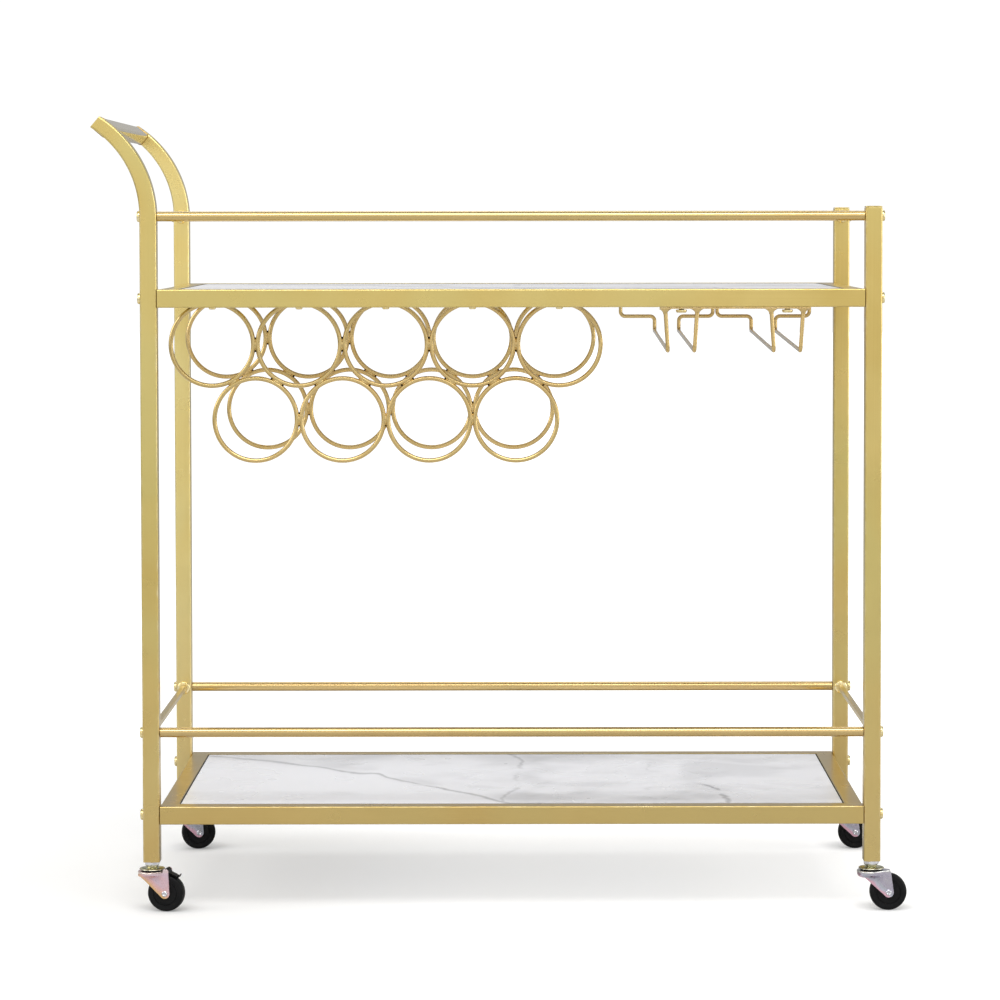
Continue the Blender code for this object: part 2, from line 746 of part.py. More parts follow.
def build_guard_rails():
    round_mesh = round_rail()
    side_mesh = side_rail()
    for level, z in (("upper", UPPER_RAIL_Z), ("lower", LOWER_RAIL_Z)):
        for end, side_y in ENDS.items():
            add_part(f"{level}_{end}_rail", round_mesh, GOLD, (0, side_y * POST_Y, z))
        for side, side_x in SIDES.items():
            add_part(f"{level}_{side}_side_rail", side_mesh, GOLD, (side_x * POST_X, 0, z))


def build_frame_bolts():
    mesh = bolt(BOLT_R, POST_WIDTH + BOLT_REACH, BOLT_HEAD_R, BOLT_HEAD)
    mesh.transform(AXIS_X)
    for end, side_y in ENDS.items():
        for side, side_x in SIDES.items():
            turn = 0 if side_x > 0 else math.pi
            for joint, z in BOLT_HEIGHTS.items():
                place = (side_x * (HALF_LENGTH + GAP), side_y * POST_Y, z)
                add_part(f"{end}_{side}_{joint}_bolt", mesh, BRASS, place, turn)


def build_racks():
    rack = ring_rack()
    add_part("front_bottle_rack", rack, GOLD, (0, -RACK_Y, 0))
    add_part("rear_bottle_rack", rack, GOLD, (REAR_RACK_SHIFT, RACK_Y, 0))
    add_part("stemware_hanger", stemware_hanger(), GOLD)
    mesh = bolt(SMALL_BOLT_R, STRIP[1] + SMALL_BOLT_REACH, SMALL_HEAD_R, BOLT_HEAD)
    mesh.transform(Matrix.Rotation(math.pi, 4, "X"))
    under = STRIP_TOP - STRIP[1] - GAP
    for end, side_y in ENDS.items():
        for number, x in enumerate(HANGER_PAIRS, 1):
            add_part(f"{end}_hanger_bolt_{number}", mesh, BRASS, (x, side_y * POST_Y, under))


def build_casters():
    stem = caster_stem()
    rivet = axle_rivet()
    wheel_mesh = wheel()
    lever = brake_lever()
    plain_fork = caster_fork(PLAIN_TRAIL, PLAIN_PLATE_END, False)
    brake_fork = caster_fork(BRAKE_TRAIL, BRAKE_PLATE_END, True)
    for name, side_x, side_y, turn, has_brake in CASTERS:
        swivel = add_empty(f"{name}_swivel_axis", (side_x * POST_X, side_y * POST_Y, 0), turn, ROOT)
        trail = BRAKE_TRAIL if has_brake else PLAIN_TRAIL
        axle = (trail, 0, WHEEL_R)
        add_part(f"{name}_caster_stem", stem, ZINC, parent=swivel)
        add_part(f"{name}_caster_fork", brake_fork if has_brake else plain_fork, ZINC, parent=swivel)
        add_part(f"{name}_axle_rivet", rivet, ZINC, axle, parent=swivel)
        add_part(f"{name}_wheel", wheel_mesh, BLACK, axle, parent=swivel)
        if has_brake:
            pivot = Vector((BRAKE_PIVOT[0], 0, BRAKE_PIVOT[1]))
            own = lever.copy()
            own.transform(Matrix.Translation(-pivot))
            add_part(f"{name}_brake_lever", own, BLACK, pivot, parent=swivel)


build_posts()
build_shelves()
build_guard_rails()
build_frame_bolts()
build_racks()
build_casters()
bpy.context.view_layer.update()
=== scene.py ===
"""Looks of the two-tier bar cart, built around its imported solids.

Metres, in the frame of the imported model: +Z up, the long side along X, the handle at -X and the
front at -Y. Every piece takes its place from the box of the solid that it stands for.
"""
import math

import bmesh
import bpy
from mathutils import Matrix, Vector, noise


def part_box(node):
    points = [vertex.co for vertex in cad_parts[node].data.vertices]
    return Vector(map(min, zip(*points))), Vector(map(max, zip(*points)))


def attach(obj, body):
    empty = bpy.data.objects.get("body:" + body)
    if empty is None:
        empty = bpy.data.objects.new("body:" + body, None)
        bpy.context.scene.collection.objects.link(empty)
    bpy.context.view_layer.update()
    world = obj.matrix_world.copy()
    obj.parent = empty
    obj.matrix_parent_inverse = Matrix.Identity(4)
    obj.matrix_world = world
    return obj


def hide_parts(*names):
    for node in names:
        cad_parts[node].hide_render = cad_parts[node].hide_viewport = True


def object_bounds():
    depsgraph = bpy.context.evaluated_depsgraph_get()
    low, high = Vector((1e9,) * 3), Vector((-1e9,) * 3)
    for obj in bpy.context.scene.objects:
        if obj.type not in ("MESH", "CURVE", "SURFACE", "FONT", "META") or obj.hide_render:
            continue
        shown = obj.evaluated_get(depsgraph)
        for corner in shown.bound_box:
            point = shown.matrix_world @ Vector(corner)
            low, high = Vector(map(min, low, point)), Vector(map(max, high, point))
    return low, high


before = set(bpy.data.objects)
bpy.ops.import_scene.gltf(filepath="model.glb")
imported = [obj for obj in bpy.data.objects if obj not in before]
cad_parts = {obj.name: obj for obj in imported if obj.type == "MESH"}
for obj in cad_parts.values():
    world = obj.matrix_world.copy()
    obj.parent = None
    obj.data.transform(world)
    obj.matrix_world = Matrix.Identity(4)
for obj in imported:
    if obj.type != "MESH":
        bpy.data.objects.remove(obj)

CAD_LOW, CAD_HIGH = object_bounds()
SCENE = bpy.context.scene

# ---- design values shared with the solids ----
GAP = 0.0003                      # between pieces that touch
TUBE = 0.020                      # shelf tube, and the posts along Y
POST_CORNER = 0.0022
SHELF_CORNER = 0.0014
INNER_BEND = 0.1148               # hollow side of the handle bend
OUTER_BEND = 0.1328
BEND_DROP = 0.0031                # the outer arc starts this much lower than the inner arc
BEND_ANGLE = math.radians(57.5)
BEND_STEPS = 28
BAR_WIDTH = 0.0185
BAR_CORNER = 0.0035
PANEL_EDGE = 0.0008
# The dark strip round a panel paints the shadow in the gap to its frame.
PANEL_LIP = 0.00072               # dark strip round a panel
CROSS_BAR = (0.020, 0.004)
UPPER_CROSS_BARS = (-0.2865, 0.0053, 0.2453)    # X from the middle of the shelf
LOWER_CROSS_BARS = (-0.2500, 0.0, 0.2500)
SIDE_RAIL = 0.0065
SIDE_FLANGE = 0.0025
RING_COUNTS = (5, 4)
RING_PITCH = 0.09725
RING_WIRE_R = 0.0026
RING_TAB = (0.012, 0.014, 0.0016)
HANGER_WIRE_R = 0.00225
HANGER_SPREAD = 0.0146
HANGER_SPLAY = 0.003
HANGER_UPRIGHT = 0.0556
HANGER_REAR_RISE = 0.0107         # rear bend above the front bend
HANGER_SHOULDER_RISE = 0.0283     # shoulder above the front bend
HANGER_BEND_R = 0.0055
STRIP = (0.018, 0.0016)
STRIP_END = 0.006                 # front strip past its outer wires
NUT_FLATS = 0.0152
DISC_R = 0.01425                  # caster bearing disc
DISC_TOP, DISC_LOW = 0.0487, 0.0464
RACE_R = 0.0118
RACE_LOW = 0.0448
BALLS, BALL_R, BALL_Z = 18, 0.00062, 0.0456
KINGPIN_TOP = 0.0425
PLATE_R = 0.0157
PLATE_LOW, PLATE_HIGH = 0.0420, 0.0446
SKIRT_TOP = 0.0436
LEG_INNER = 0.0073
LEG = 0.0018
LEG_OUTER = LEG_INNER + LEG
LEG_END_R = 0.0055
PLAIN_PLATE_END = 0.0212
BRAKE_PLATE_END = 0.0155
BRAKE_PIVOT = (0.0170, 0.0444)
BRAKE_EAR_R = 0.0034

ENDS = ("front", "rear")
SIDES = ("left", "right")
LEVELS = ("upper", "lower")
CORNERS = ("front_left", "front_right", "rear_left", "rear_right")
HALF_TURN = math.pi
QUARTER_TURN = math.pi / 2


def middle(node):
    low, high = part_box(node)
    return (low + high) / 2


def turns(count):
    """Even steps round a full turn."""
    return [2 * math.pi * step / count for step in range(count)]


def polar(radius, turn, z=0.0):
    return Vector((radius * math.cos(turn), radius * math.sin(turn), z))


def placed(spot, turn, axis):
    return Matrix.Translation(spot) @ Matrix.Rotation(turn, 4, axis)


# ---- camera ----
def make_camera():
    """Nearly level, with a slight tilt and shift, looking along +Y."""
    data = bpy.data.cameras.new("camera")
    camera = bpy.data.objects.new("camera", data)
    SCENE.collection.objects.link(camera)
    SCENE.camera = camera
    data.lens = 125.15
    data.sensor_width = 36.0
    data.shift_x = -0.01854
    data.shift_y = -0.12
    data.clip_start = 0.1
    data.clip_end = 60.0
    tilt = math.radians(2.588)
    roll = math.radians(-0.075)
    aim = placed((0.0198, -4.0068, 0.7595), QUARTER_TURN - tilt, "X")
    camera.matrix_world = aim @ Matrix.Rotation(roll, 4, "Z")


make_camera()


# ---- material nodes ----
class Nodes:
    """Short ways to add procedural nodes to one tree."""

    def __init__(self, tree):
        self.tree = tree

    def node(self, kind, inputs=None, **settings):
        item = self.tree.nodes.new("ShaderNode" + kind)
        for key, value in settings.items():
            setattr(item, key, value)
        for key, value in (inputs or {}).items():
            self.feed(item.inputs[key], value)
        return item

    def feed(self, socket, value):
        if isinstance(value, bpy.types.NodeSocket):
            self.tree.links.new(value, socket)
        else:
            socket.default_value = value

    def attribute(self, name, output="Fac"):
        return self.node("Attribute", attribute_name=name).outputs[output]

    def place(self):
        return self.node("TexCoord").outputs["Object"]

    def noise(self, vector, scale, detail=2.0, roughness=0.5, distortion=0.0):
        values = {"Vector": vector, "Scale": scale, "Detail": detail, "Roughness": roughness}
        return self.node("TexNoise", values | {"Distortion": distortion}).outputs["Fac"]

    def math(self, operation, first, second=0.0, third=0.0, clamp=False):
        item = self.node("Math", {0: first, 1: second, 2: third}, operation=operation)
        item.use_clamp = clamp
        return item.outputs[0]

    def span(self, value, from_low, from_high, to_low, to_high, smooth=False):
        values = {"From Min": from_low, "From Max": from_high, "To Min": to_low, "To Max": to_high}
        kind = "SMOOTHSTEP" if smooth else "LINEAR"
        return self.node("MapRange", {"Value": value} | values, interpolation_type=kind).outputs[0]

    def distance(self, first, second):
        return self.node("VectorMath", {0: first, 1: second}, operation="DISTANCE").outputs["Value"]

    def mix(self, share, first, second):
        item = self.node("Mix", data_type="RGBA")
        item.clamp_factor = True
        self.feed(item.inputs["Factor"], share)
        for key, value in (("A", first), ("B", second)):
            self.feed([s for s in item.inputs if s.name == key and s.type == "RGBA"][0], value)
        return [s for s in item.outputs if s.type == "RGBA"][0]

    def ramp(self, value, stops, interpolation="LINEAR"):
        item = self.node("ValToRGB", {"Fac": value})
        item.color_ramp.interpolation = interpolation
        elements = item.color_ramp.elements
        while len(elements) < len(stops):
            elements.new(0.5)
        for element, (position, colour) in zip(elements, stops):
            element.position = position
            element.color = colour
        return item.outputs["Color"]

    def bump(self, height, strength, distance):
        values = {"Height": height, "Strength": strength, "Distance": distance}
        return self.node("Bump", values).outputs[0]


class Look(Nodes):
    """A Principled material whose inputs are fed by procedural nodes."""

    def __init__(self, name, **values):
        self.material = bpy.data.materials.new(name)
        self.material.use_nodes = True
        super().__init__(self.material.node_tree)
        self.shader = self.tree.nodes["Principled BSDF"]
        for socket, value in values.items():
            self.shader.inputs[socket.replace("_", " ")].default_value = value

    def surface(self, colour, roughness=None, normal=None):
        for name, value in (("Base Color", colour), ("Roughness", roughness), ("Normal", normal)):
            if value is not None:
                self.feed(self.shader.inputs[name], value)
        return self.material


def rgb(red, green, blue):
    """A colour given as the eye reads it, 0 to 255, in linear light."""
    def linear(value):
        value /= 255
        return value / 12.92 if value <= 0.04045 else ((value + 0.055) / 1.055) ** 2.4
    return (linear(red), linear(green), linear(blue), 1.0)


def satin_gold(name, tones, low_rough, high_rough, coat=0.38):
    """Metallic lacquer in a light, a dark and a cool tone, with faint draw lines. Low down it is painted
    darker and warmer as shade, and marked edges turn pale as wear and a painted highlight.
    """
    light, dark, cool = (rgb(*tone) for tone in tones)
    look = Look(name, Metallic=1.0, Coat_Weight=coat, Coat_Roughness=0.10)
    place = look.place()
    grain = {"Vector": look.attribute("grain", "Vector"), "Scale": (4.0, 700.0, 1.0)}
    lines = look.noise(look.node("Mapping", grain).outputs[0], 1.0)
    cloud = look.noise(place, 7.0, 3.0, 0.55)
    pigment = look.noise(place, 1900.0, 1.0)
    tone = look.math("MULTIPLY_ADD", cloud, 0.74, look.math("MULTIPLY", lines, 0.18))
    tone = look.math("MULTIPLY_ADD", pigment, 0.06, tone)
    colour = look.mix(look.span(tone, 0.34, 0.66, 0.0, 1.0), dark, light)
    hue = look.span(look.noise(place, 4.5, 2.0, 0.5, 0.5), 0.42, 0.62, 0.0, 0.85)
    colour = look.mix(hue, colour, cool)
    # Painted shade: below 0.45 m the colour is mixed towards a darker, pinker tone, most near the floor.
    height = look.node("SeparateXYZ", {0: place}).outputs["Z"]
    colour = look.mix(look.span(height, 0.45, 0.05, 0.0, 0.5, smooth=True), colour, rgb(203, 172, 119))
    # Marked edges turn pale in patches: partly wear, partly a painted edge highlight.
    wear_and_sheen_patches = look.span(look.noise(place, 55.0, 4.0, 0.65), 0.45, 0.70, 0.0, 0.6)
    wear_and_sheen = look.math("MULTIPLY", look.attribute("wear_and_sheen"), wear_and_sheen_patches)
    colour = look.mix(wear_and_sheen, colour, rgb(240, 226, 182))
    rough = look.span(look.noise(place, 30.0, 3.0), 0.3, 0.7, low_rough, high_rough)
    rough = look.math("MULTIPLY_ADD", pigment, 0.012, rough)
    peel = look.math("ADD", look.noise(place, 300.0, 1.0), look.math("MULTIPLY", lines, 0.3))
    return look.surface(colour, rough, look.bump(peel, 0.012, 0.0001))


def bright_plate(name, dark, light, spot_scale, spot_high, rough_scale, high_rough):
    """Bright metal plating with small cloudy spots."""
    look = Look(name, Metallic=1.0)
    place = look.place()
    spots = look.noise(place, spot_scale, 4.0, 0.6)
    colour = look.mix(look.span(spots, 0.35, spot_high, 0.0, 1.0), rgb(*dark), rgb(*light))
    rough = look.span(look.noise(place, rough_scale, 3.0, 0.6), 0.3, 0.7, 0.12, high_rough)
    return look.surface(colour, rough, look.bump(spots, 0.08, 0.0002))


def passivated_zinc(name, low_rough, stops):
    """Chromate film on zinc: the colour drifts through the bands of a thin film."""
    look = Look(name, Metallic=1.0)
    place = look.place()
    drift = look.noise(place, 38.0, 2.0, 0.45, 0.9)
    film = look.math("MULTIPLY_ADD", drift, 0.55, look.math("MULTIPLY", look.attribute("film"), 0.9))
    bands = [(position, rgb(*tone)) for position, *tone in stops]
    colour = look.ramp(look.math("SUBTRACT", film, 0.22), bands)
    spangle = look.noise(place, 420.0, 3.0, 0.6)
    colour = look.mix(look.span(spangle, 0.48, 0.78, 0.0, 0.18), colour, rgb(240, 236, 230))
    # Marked edges turn pale: partly wear, partly a painted edge highlight.
    colour = look.mix(look.math("MULTIPLY", look.attribute("wear_and_sheen"), 0.75), colour, rgb(246, 244, 232))
    rough = look.span(look.noise(place, 120.0, 4.0, 0.6), 0.3, 0.7, low_rough, low_rough + 0.12)
    return look.surface(colour, rough, look.bump(spangle, 0.03, 0.0002))


def black_plastic(name, low_rough, high_rough, lift, specular=0.16):
    """Black plastic or rubber with dust that is lighter by lift."""
    look = Look(name, Metallic=0.0, Specular_IOR_Level=specular)
    place = look.place()
    dust = look.span(look.noise(place, 130.0, 5.0, 0.65), 0.45, 0.8, 0.0, 1.0)
    colour = look.mix(dust, (0.0042, 0.0043, 0.0047, 1), (lift, lift, lift * 1.03, 1))
    rough = look.span(look.noise(place, 420.0, 4.0, 0.6), 0.3, 0.7, low_rough, high_rough)
    return look.surface(colour, rough, look.bump(look.noise(place, 1500.0), 0.12, 0.00015))


MAIN_VEIN = ((-0.36, 0.17), (-0.30, 0.14), (-0.21, 0.075), (-0.17, 0.04), (-0.145, 0.03),
             (-0.13, 0.0), (-0.10, -0.035), (-0.05, -0.095), (0.01, -0.18))
CROSS_VEIN = ((-0.18, 0.005), (-0.12, 0.004), (-0.06, 0.019), (0.02, 0.015), (0.09, 0.023),
              (0.18, 0.010))
FRONT_VEIN = ((-0.18, 0.253), (-0.13, 0.250), (-0.09, 0.244), (-0.06, 0.236), (-0.02, 0.205),
              (0.18, 0.120))


def marble():
    """White laminate printed with one long diagonal vein, two short ones and grey clouds."""
    look = Look("marble_laminate", Metallic=0.0, Specular_IOR_Level=0.35)
    place = look.place()
    x, y, _ = look.node("SeparateXYZ", {0: place}).outputs

    def sum_of(first, second):
        return look.math("ADD", first, second)

    def centred(scale, amount):
        return look.math("MULTIPLY", look.math("SUBTRACT", look.noise(place, scale, 3.0), 0.5), amount)

    def off_line(along, across, points):
        """Signed distance across from a drawn line, with a natural wobble."""
        start, length = points[0][0], points[-1][0] - points[0][0]
        curve = look.node("FloatCurve")
        look.feed(curve.inputs["Value"], look.span(along, start, points[-1][0], 0.0, 1.0))
        line = curve.mapping.curves[0].points
        spots = [((spot - start) / length, height + 0.5) for spot, height in points]
        line[0].location, line[-1].location = spots[0], spots[-1]
        for spot in spots[1:-1]:
            line.new(*spot)
        curve.mapping.update()
        drawn = look.math("SUBTRACT", curve.outputs[0], 0.5)
        wobble = sum_of(centred(22.0, 0.026), centred(80.0, 0.006))
        return sum_of(look.math("SUBTRACT", across, drawn), wobble)

    def stroke(distance, width, depth, scale, low, high):
        line = look.span(look.math("ABSOLUTE", distance), 0.0, width, depth, 0.0, smooth=True)
        return look.math("MULTIPLY", line, look.span(look.noise(place, scale, 3.0), low, high, 0.08, 1.0))

    def cloud(scale, low, high, depth):
        return look.span(look.noise(place, scale, 2.5, 0.45, 0.5), low, high, 0.0, depth, smooth=True)

    main = off_line(x, y, MAIN_VEIN)
    cross = off_line(y, x, CROSS_VEIN)
    front = off_line(y, x, FRONT_VEIN)
    hair = sum_of(sum_of(x, -0.16), centred(14.0, 0.12))
    near = look.span(y, -0.02, -0.07, 0.0, 1.0, smooth=True)
    shades = [
        stroke(main, 0.0105, 0.50, 13.0, 0.34, 0.46),
        stroke(look.math("SUBTRACT", main, 0.022), 0.060, 0.16, 9.0, 0.40, 0.58),
        stroke(cross, 0.0050, 0.34, 11.0, 0.36, 0.50),
        stroke(look.math("SUBTRACT", cross, 0.018), 0.026, 0.13, 10.0, 0.40, 0.60),
        look.math("MULTIPLY", near, stroke(front, 0.0055, 0.52, 21.0, 0.36, 0.48)),
        stroke(sum_of(front, 0.016), 0.050, 0.12, 12.0, 0.42, 0.58),
        stroke(sum_of(y, 0.105), 0.022, 0.15, 9.0, 0.46, 0.62),
        stroke(hair, 0.004, 0.22, 18.0, 0.50, 0.60),
    ]
    shade = shades[0]
    for extra in shades[1:]:
        shade = look.math("MAXIMUM", shade, extra)
    behind = look.span(main, -0.01, 0.06, 0.0, 1.0, smooth=True)
    mist = sum_of(cloud(7.5, 0.46, 0.64, 0.16), cloud(19.0, 0.52, 0.68, 0.09))
    mist = look.math("MULTIPLY_ADD", mist, behind, look.math("MULTIPLY", behind, 0.035))
    speckle = look.span(look.noise(place, 30.0, 1.0), 0.35, 0.65, 0.0, 0.01)
    shade = look.math("ADD", sum_of(shade, mist), speckle, clamp=True)
    colour = look.mix(shade, rgb(246, 247, 252), rgb(98, 98, 102))
    return look.surface(colour, look.span(look.noise(place, 12.0), 0.3, 0.7, 0.26, 0.31))


PLAIN_TONES = (230, 205, 128), (215, 187, 106), (220, 203, 128)
# Lighter copy of the plain tones: painted light on the rear post.
PAINTED_LIGHT_TONES = (248, 227, 150), (236, 211, 130), (242, 227, 158)
# Darker copy of the plain tones: painted shade on the lower shelf.
PAINTED_SHADE_TONES = (222, 197, 118), (206, 178, 96), (212, 194, 118)
WIRE_TONES = (228, 199, 134), (209, 176, 108), (213, 187, 122)
WELD_TONES = (190, 158, 84), (144, 112, 52), (160, 134, 70)
DARK_SPOT_TONES = (70, 54, 30), (34, 26, 16), (52, 42, 26)
GOLD = satin_gold("satin_gold", PLAIN_TONES, 0.26, 0.33)
# Painted light: a lighter copy of the plain gold for the rear post.
PAINTED_LIGHT_GOLD = satin_gold("painted_light_gold", PAINTED_LIGHT_TONES, 0.26, 0.33)
# Painted shade: a darker copy of the plain gold for the lower shelf.
PAINTED_SHADE_GOLD = satin_gold("painted_shade_gold", PAINTED_SHADE_TONES, 0.26, 0.33, 0.25)
GRIP_GOLD = satin_gold("grip_gold", PLAIN_TONES, 0.24, 0.30, 1.0)
WIRE_GOLD = satin_gold("wire_gold", WIRE_TONES, 0.20, 0.27, 0.9)
WELD_GOLD = satin_gold("weld_gold", WELD_TONES, 0.34, 0.46)
DARK_SPOT_GOLD = satin_gold("dark_spot_gold", DARK_SPOT_TONES, 0.5, 0.62)
BRASS = bright_plate("brass_plate", (234, 206, 132), (255, 246, 206), 380.0, 0.68, 900.0, 0.28)
ZINC = bright_plate("bright_zinc", (208, 208, 214), (246, 246, 250), 260.0, 0.65, 700.0, 0.26)
DISC_FILM = passivated_zinc("yellow_chromate", 0.14, (
    (0.00, 104, 114, 88), (0.35, 172, 168, 122), (0.55, 232, 216, 172),
    (0.75, 130, 142, 102), (1.00, 220, 210, 158)))
FORK_FILM = passivated_zinc("pink_chromate", 0.20, (
    (0.00, 228, 184, 112), (0.28, 238, 196, 140), (0.46, 244, 196, 176),
    (0.62, 240, 194, 196), (0.80, 226, 200, 214), (1.00, 238, 226, 190)))
PLAIN_FILM = passivated_zinc("grey_chromate", 0.20, (
    (0.00, 236, 186, 206), (0.30, 238, 190, 208), (0.45, 210, 208, 224),
    (0.62, 190, 194, 206), (0.80, 188, 182, 198), (1.00, 220, 224, 212)))
RUBBER = black_plastic("wheel_black", 0.36, 0.50, 0.011)
LEVER_BLACK = black_plastic("lever_black", 0.30, 0.42, 0.010, 0.08)
# Painted shade: black for the shadowed gap round each panel.
PAINTED_GAP_SHADE = black_plastic("edge_strip", 0.55, 0.70, 0.030)
MARBLE = marble()


# ---- mesh building ----
class Shape:
    """A mesh in the making. Points carry an edge mark for wear and painted highlight, film height and the
    surface grain.
    """

    def __init__(self):
        self.bm = bmesh.new()
        self.wear_and_sheen = self.bm.verts.layers.float.new("wear_and_sheen")
        self.film = self.bm.verts.layers.float.new("film")
        self.grain = self.bm.verts.layers.float_vector.new("grain")

    def point(self, place, wear_and_sheen=0.0, film=0.5, grain=(0, 0, 0)):
        vertex = self.bm.verts.new(place)
        vertex[self.wear_and_sheen] = wear_and_sheen
        vertex[self.film] = film
        vertex[self.grain] = grain
        return vertex

    def skin(self, rings, cyclic=False, caps=True):
        """Quads between rings of vertices with equal counts, closed by flat caps."""
        pairs = list(zip(rings, rings[1:]))
        if cyclic:
            pairs.append((rings[-1], rings[0]))
        for low, high in pairs:
            for i in range(len(low)):
                j = (i + 1) % len(low)
                self.bm.faces.new((low[i], low[j], high[j], high[i]))
        if caps and not cyclic:
            self.bm.faces.new(list(reversed(rings[0])))
            self.bm.faces.new(rings[-1])

    def sheet(self, rows):
        """Quads between open rows of vertices with equal counts."""
        for upper, lower in zip(rows, rows[1:]):
            for i in range(len(upper) - 1):
                self.bm.faces.new((upper[i], upper[i + 1], lower[i + 1], lower[i]))

    def mesh(self, name, matrix=None):
        bmesh.ops.recalc_face_normals(self.bm, faces=self.bm.faces)
        mesh = bpy.data.meshes.new(name)
        self.bm.to_mesh(mesh)
        self.bm.free()
        if matrix is not None:
            mesh.transform(matrix)
        return mesh


def rounded_section(half_u, half_v, radius, steps=5):
    """(u, v, edge mark) round a rectangle with rounded corners; the mark paints wear and an edge
    highlight.
    """
    section = []
    for corner, (u, v) in enumerate(((1, 1), (-1, 1), (-1, -1), (1, -1))):
        for step in range(steps + 1):
            turn = QUARTER_TURN * (corner + step / steps)
            side_u = u * (half_u - radius) + radius * math.cos(turn)
            side_v = v * (half_v - radius) + radius * math.sin(turn)
            section.append((side_u, side_v, math.sin(math.pi * step / steps)))
    return section


def sweep(shape, stations, edge=0.0005):
    """Loft sections along stations of (origin, u axis, v axis, half u, half v, corner radius).

    Both ends are rounded over by edge.
    """
    origins = [Vector(station[0]) for station in stations]
    rings = []
    along = 0.0

    def add_ring(origin, station, inset, wear_and_sheen_floor):
        _, u_axis, v_axis, half_u, half_v, radius = station
        ring = []
        around = 0.0
        last = None
        corner = max(radius - inset, 0.0002)
        for u, v, wear_and_sheen in rounded_section(half_u - inset, half_v - inset, corner):
            spot = origin + Vector(u_axis) * u + Vector(v_axis) * v
            around += (spot - last).length if last is not None else 0.0
            last = spot
            ring.append(shape.point(spot, max(wear_and_sheen, wear_and_sheen_floor), 0.5, (along, around, 0)))
        rings.append(ring)

    first = (origins[1] - origins[0]).normalized()
    final = (origins[-1] - origins[-2]).normalized()
    # The end rings are fully marked, which paints a pale highlight line round each end.
    add_ring(origins[0], stations[0], edge, 1.0)
    add_ring(origins[0] + first * edge * 0.3, stations[0], edge * 0.3, 1.0)
    add_ring(origins[0] + first * edge, stations[0], 0.0, 0.0)
    for before, origin, station in zip(origins, origins[1:-1], stations[1:-1]):
        along += (origin - before).length
        add_ring(origin, station, 0.0, 0.0)
    along += (origins[-1] - origins[-2]).length
    add_ring(origins[-1] - final * edge, stations[-1], 0.0, 0.0)
    add_ring(origins[-1] - final * edge * 0.3, stations[-1], edge * 0.3, 1.0)
    add_ring(origins[-1], stations[-1], edge, 1.0)
    shape.skin(rings)


AXES = (Vector((1, 0, 0)), Vector((0, 1, 0)), Vector((0, 0, 1)))


def square_tube(shape, low, high, axis, radius, edge=0.0005):
    """A rounded bar that fills the box from low to high and runs along the named axis."""
    low, high = Vector(low), Vector(high)
    centre = (low + high) / 2
    half = (high - low) / 2
    index = "XYZ".index(axis)
    u, v = (index + 1) % 3, (index + 2) % 3
    ends = (centre - AXES[index] * half[index], centre + AXES[index] * half[index])
    sweep(shape, [(end, AXES[u], AXES[v], half[u], half[v], radius) for end in ends], edge)


def turned(shape, profile, sides, matrix=Matrix.Identity(4)):
    """Turn (radius, height, edge mark) points about Z, then place them. A radius of 0 closes an end."""
    rings = []
    for radius, height, wear_and_sheen in profile:
        around = turns(sides) if radius else [0.0]
        rings.append([
            shape.point(matrix @ polar(radius, turn, height), wear_and_sheen, 0.5, (height, radius * turn, 0))
            for turn in around
        ])
    pairs = list(zip(rings, rings[1:]))
    if profile[0][0] > 0:
        pairs.append((rings[-1], rings[0]))
    for first, second in pairs:
        if len(first) == 1 and len(second) == 1:
            continue
        for i in range(sides):
            j = (i + 1) % sides
            corners = [first[0]] if len(first) == 1 else [first[i], first[j]]
            corners += [second[0]] if len(second) == 1 else [second[j], second[i]]
            shape.bm.faces.new(corners)


def cylinder(shape, radius, first, last, sides, matrix=Matrix.Identity(4)):
    turned(shape, ((0, first, 0), (radius, first, 0), (radius, last, 0), (0, last, 0)), sides, matrix)


def round_wire(shape, points, radius, sides=16, cyclic=False):
    """A round wire through the points, with domed ends unless it is a loop."""
    points = [Vector(point) for point in points]
    count = len(points)
    tangents = []
    for i in range(count):
        before = points[i - 1] if cyclic or i > 0 else points[0]
        after = points[(i + 1) % count] if cyclic or i < count - 1 else points[-1]
        tangents.append((after - before).normalized())
    side = tangents[0].orthogonal().normalized()
    rings = []
    along = 0.0
    last = points[0]

    def add_ring(point, size):
        ring = []
        for turn in turns(sides):
            spot = point + (side * math.cos(turn) + other * math.sin(turn)) * size
            ring.append(shape.point(spot, 0.0, 0.5, (along, radius * turn, 0)))
        rings.append(ring)

    for i, (point, tangent) in enumerate(zip(points, tangents)):
        side = (side - tangent * side.dot(tangent)).normalized()
        other = tangent.cross(side)
        along += (point - last).length
        last = point
        if not cyclic and i == 0:
            add_ring(point, radius * 0.75)
            point = point + tangent * radius * 0.3
        if not cyclic and i == count - 1:
            add_ring(point - tangent * radius * 0.3, radius)
            add_ring(point, radius * 0.75)
            continue
        add_ring(point, radius)
    shape.skin(rings, cyclic=cyclic)


def arc(centre, radius, start, end, steps):
    """Points on an arc in X and Z, angles from +X towards +Z."""
    points = []
    for step in range(steps + 1):
        turn = start + (end - start) * step / steps
        points.append((centre[0] + radius * math.cos(turn), centre[1] + radius * math.sin(turn)))
    return points


def rounded_path(points, radius, steps):
    """A path through the points, with each inner corner replaced by an arc."""
    points = [Vector(point) for point in points]
    path = [points[0]]
    for before, corner, after in zip(points, points[1:], points[2:]):
        arrive = (before - corner).normalized()
        leave = (after - corner).normalized()
        half = arrive.angle(leave) / 2
        reach = radius / math.tan(half)
        centre = corner + (arrive + leave).normalized() * radius / math.sin(half)
        first = corner + arrive * reach - centre
        last = corner + leave * reach - centre
        turn = first.angle(last)
        for step in range(steps + 1):
            share = step / steps
            spot = first * math.sin((1 - share) * turn) + last * math.sin(share * turn)
            path.append(centre + spot / math.sin(turn))
    path.append(points[-1])
    return path


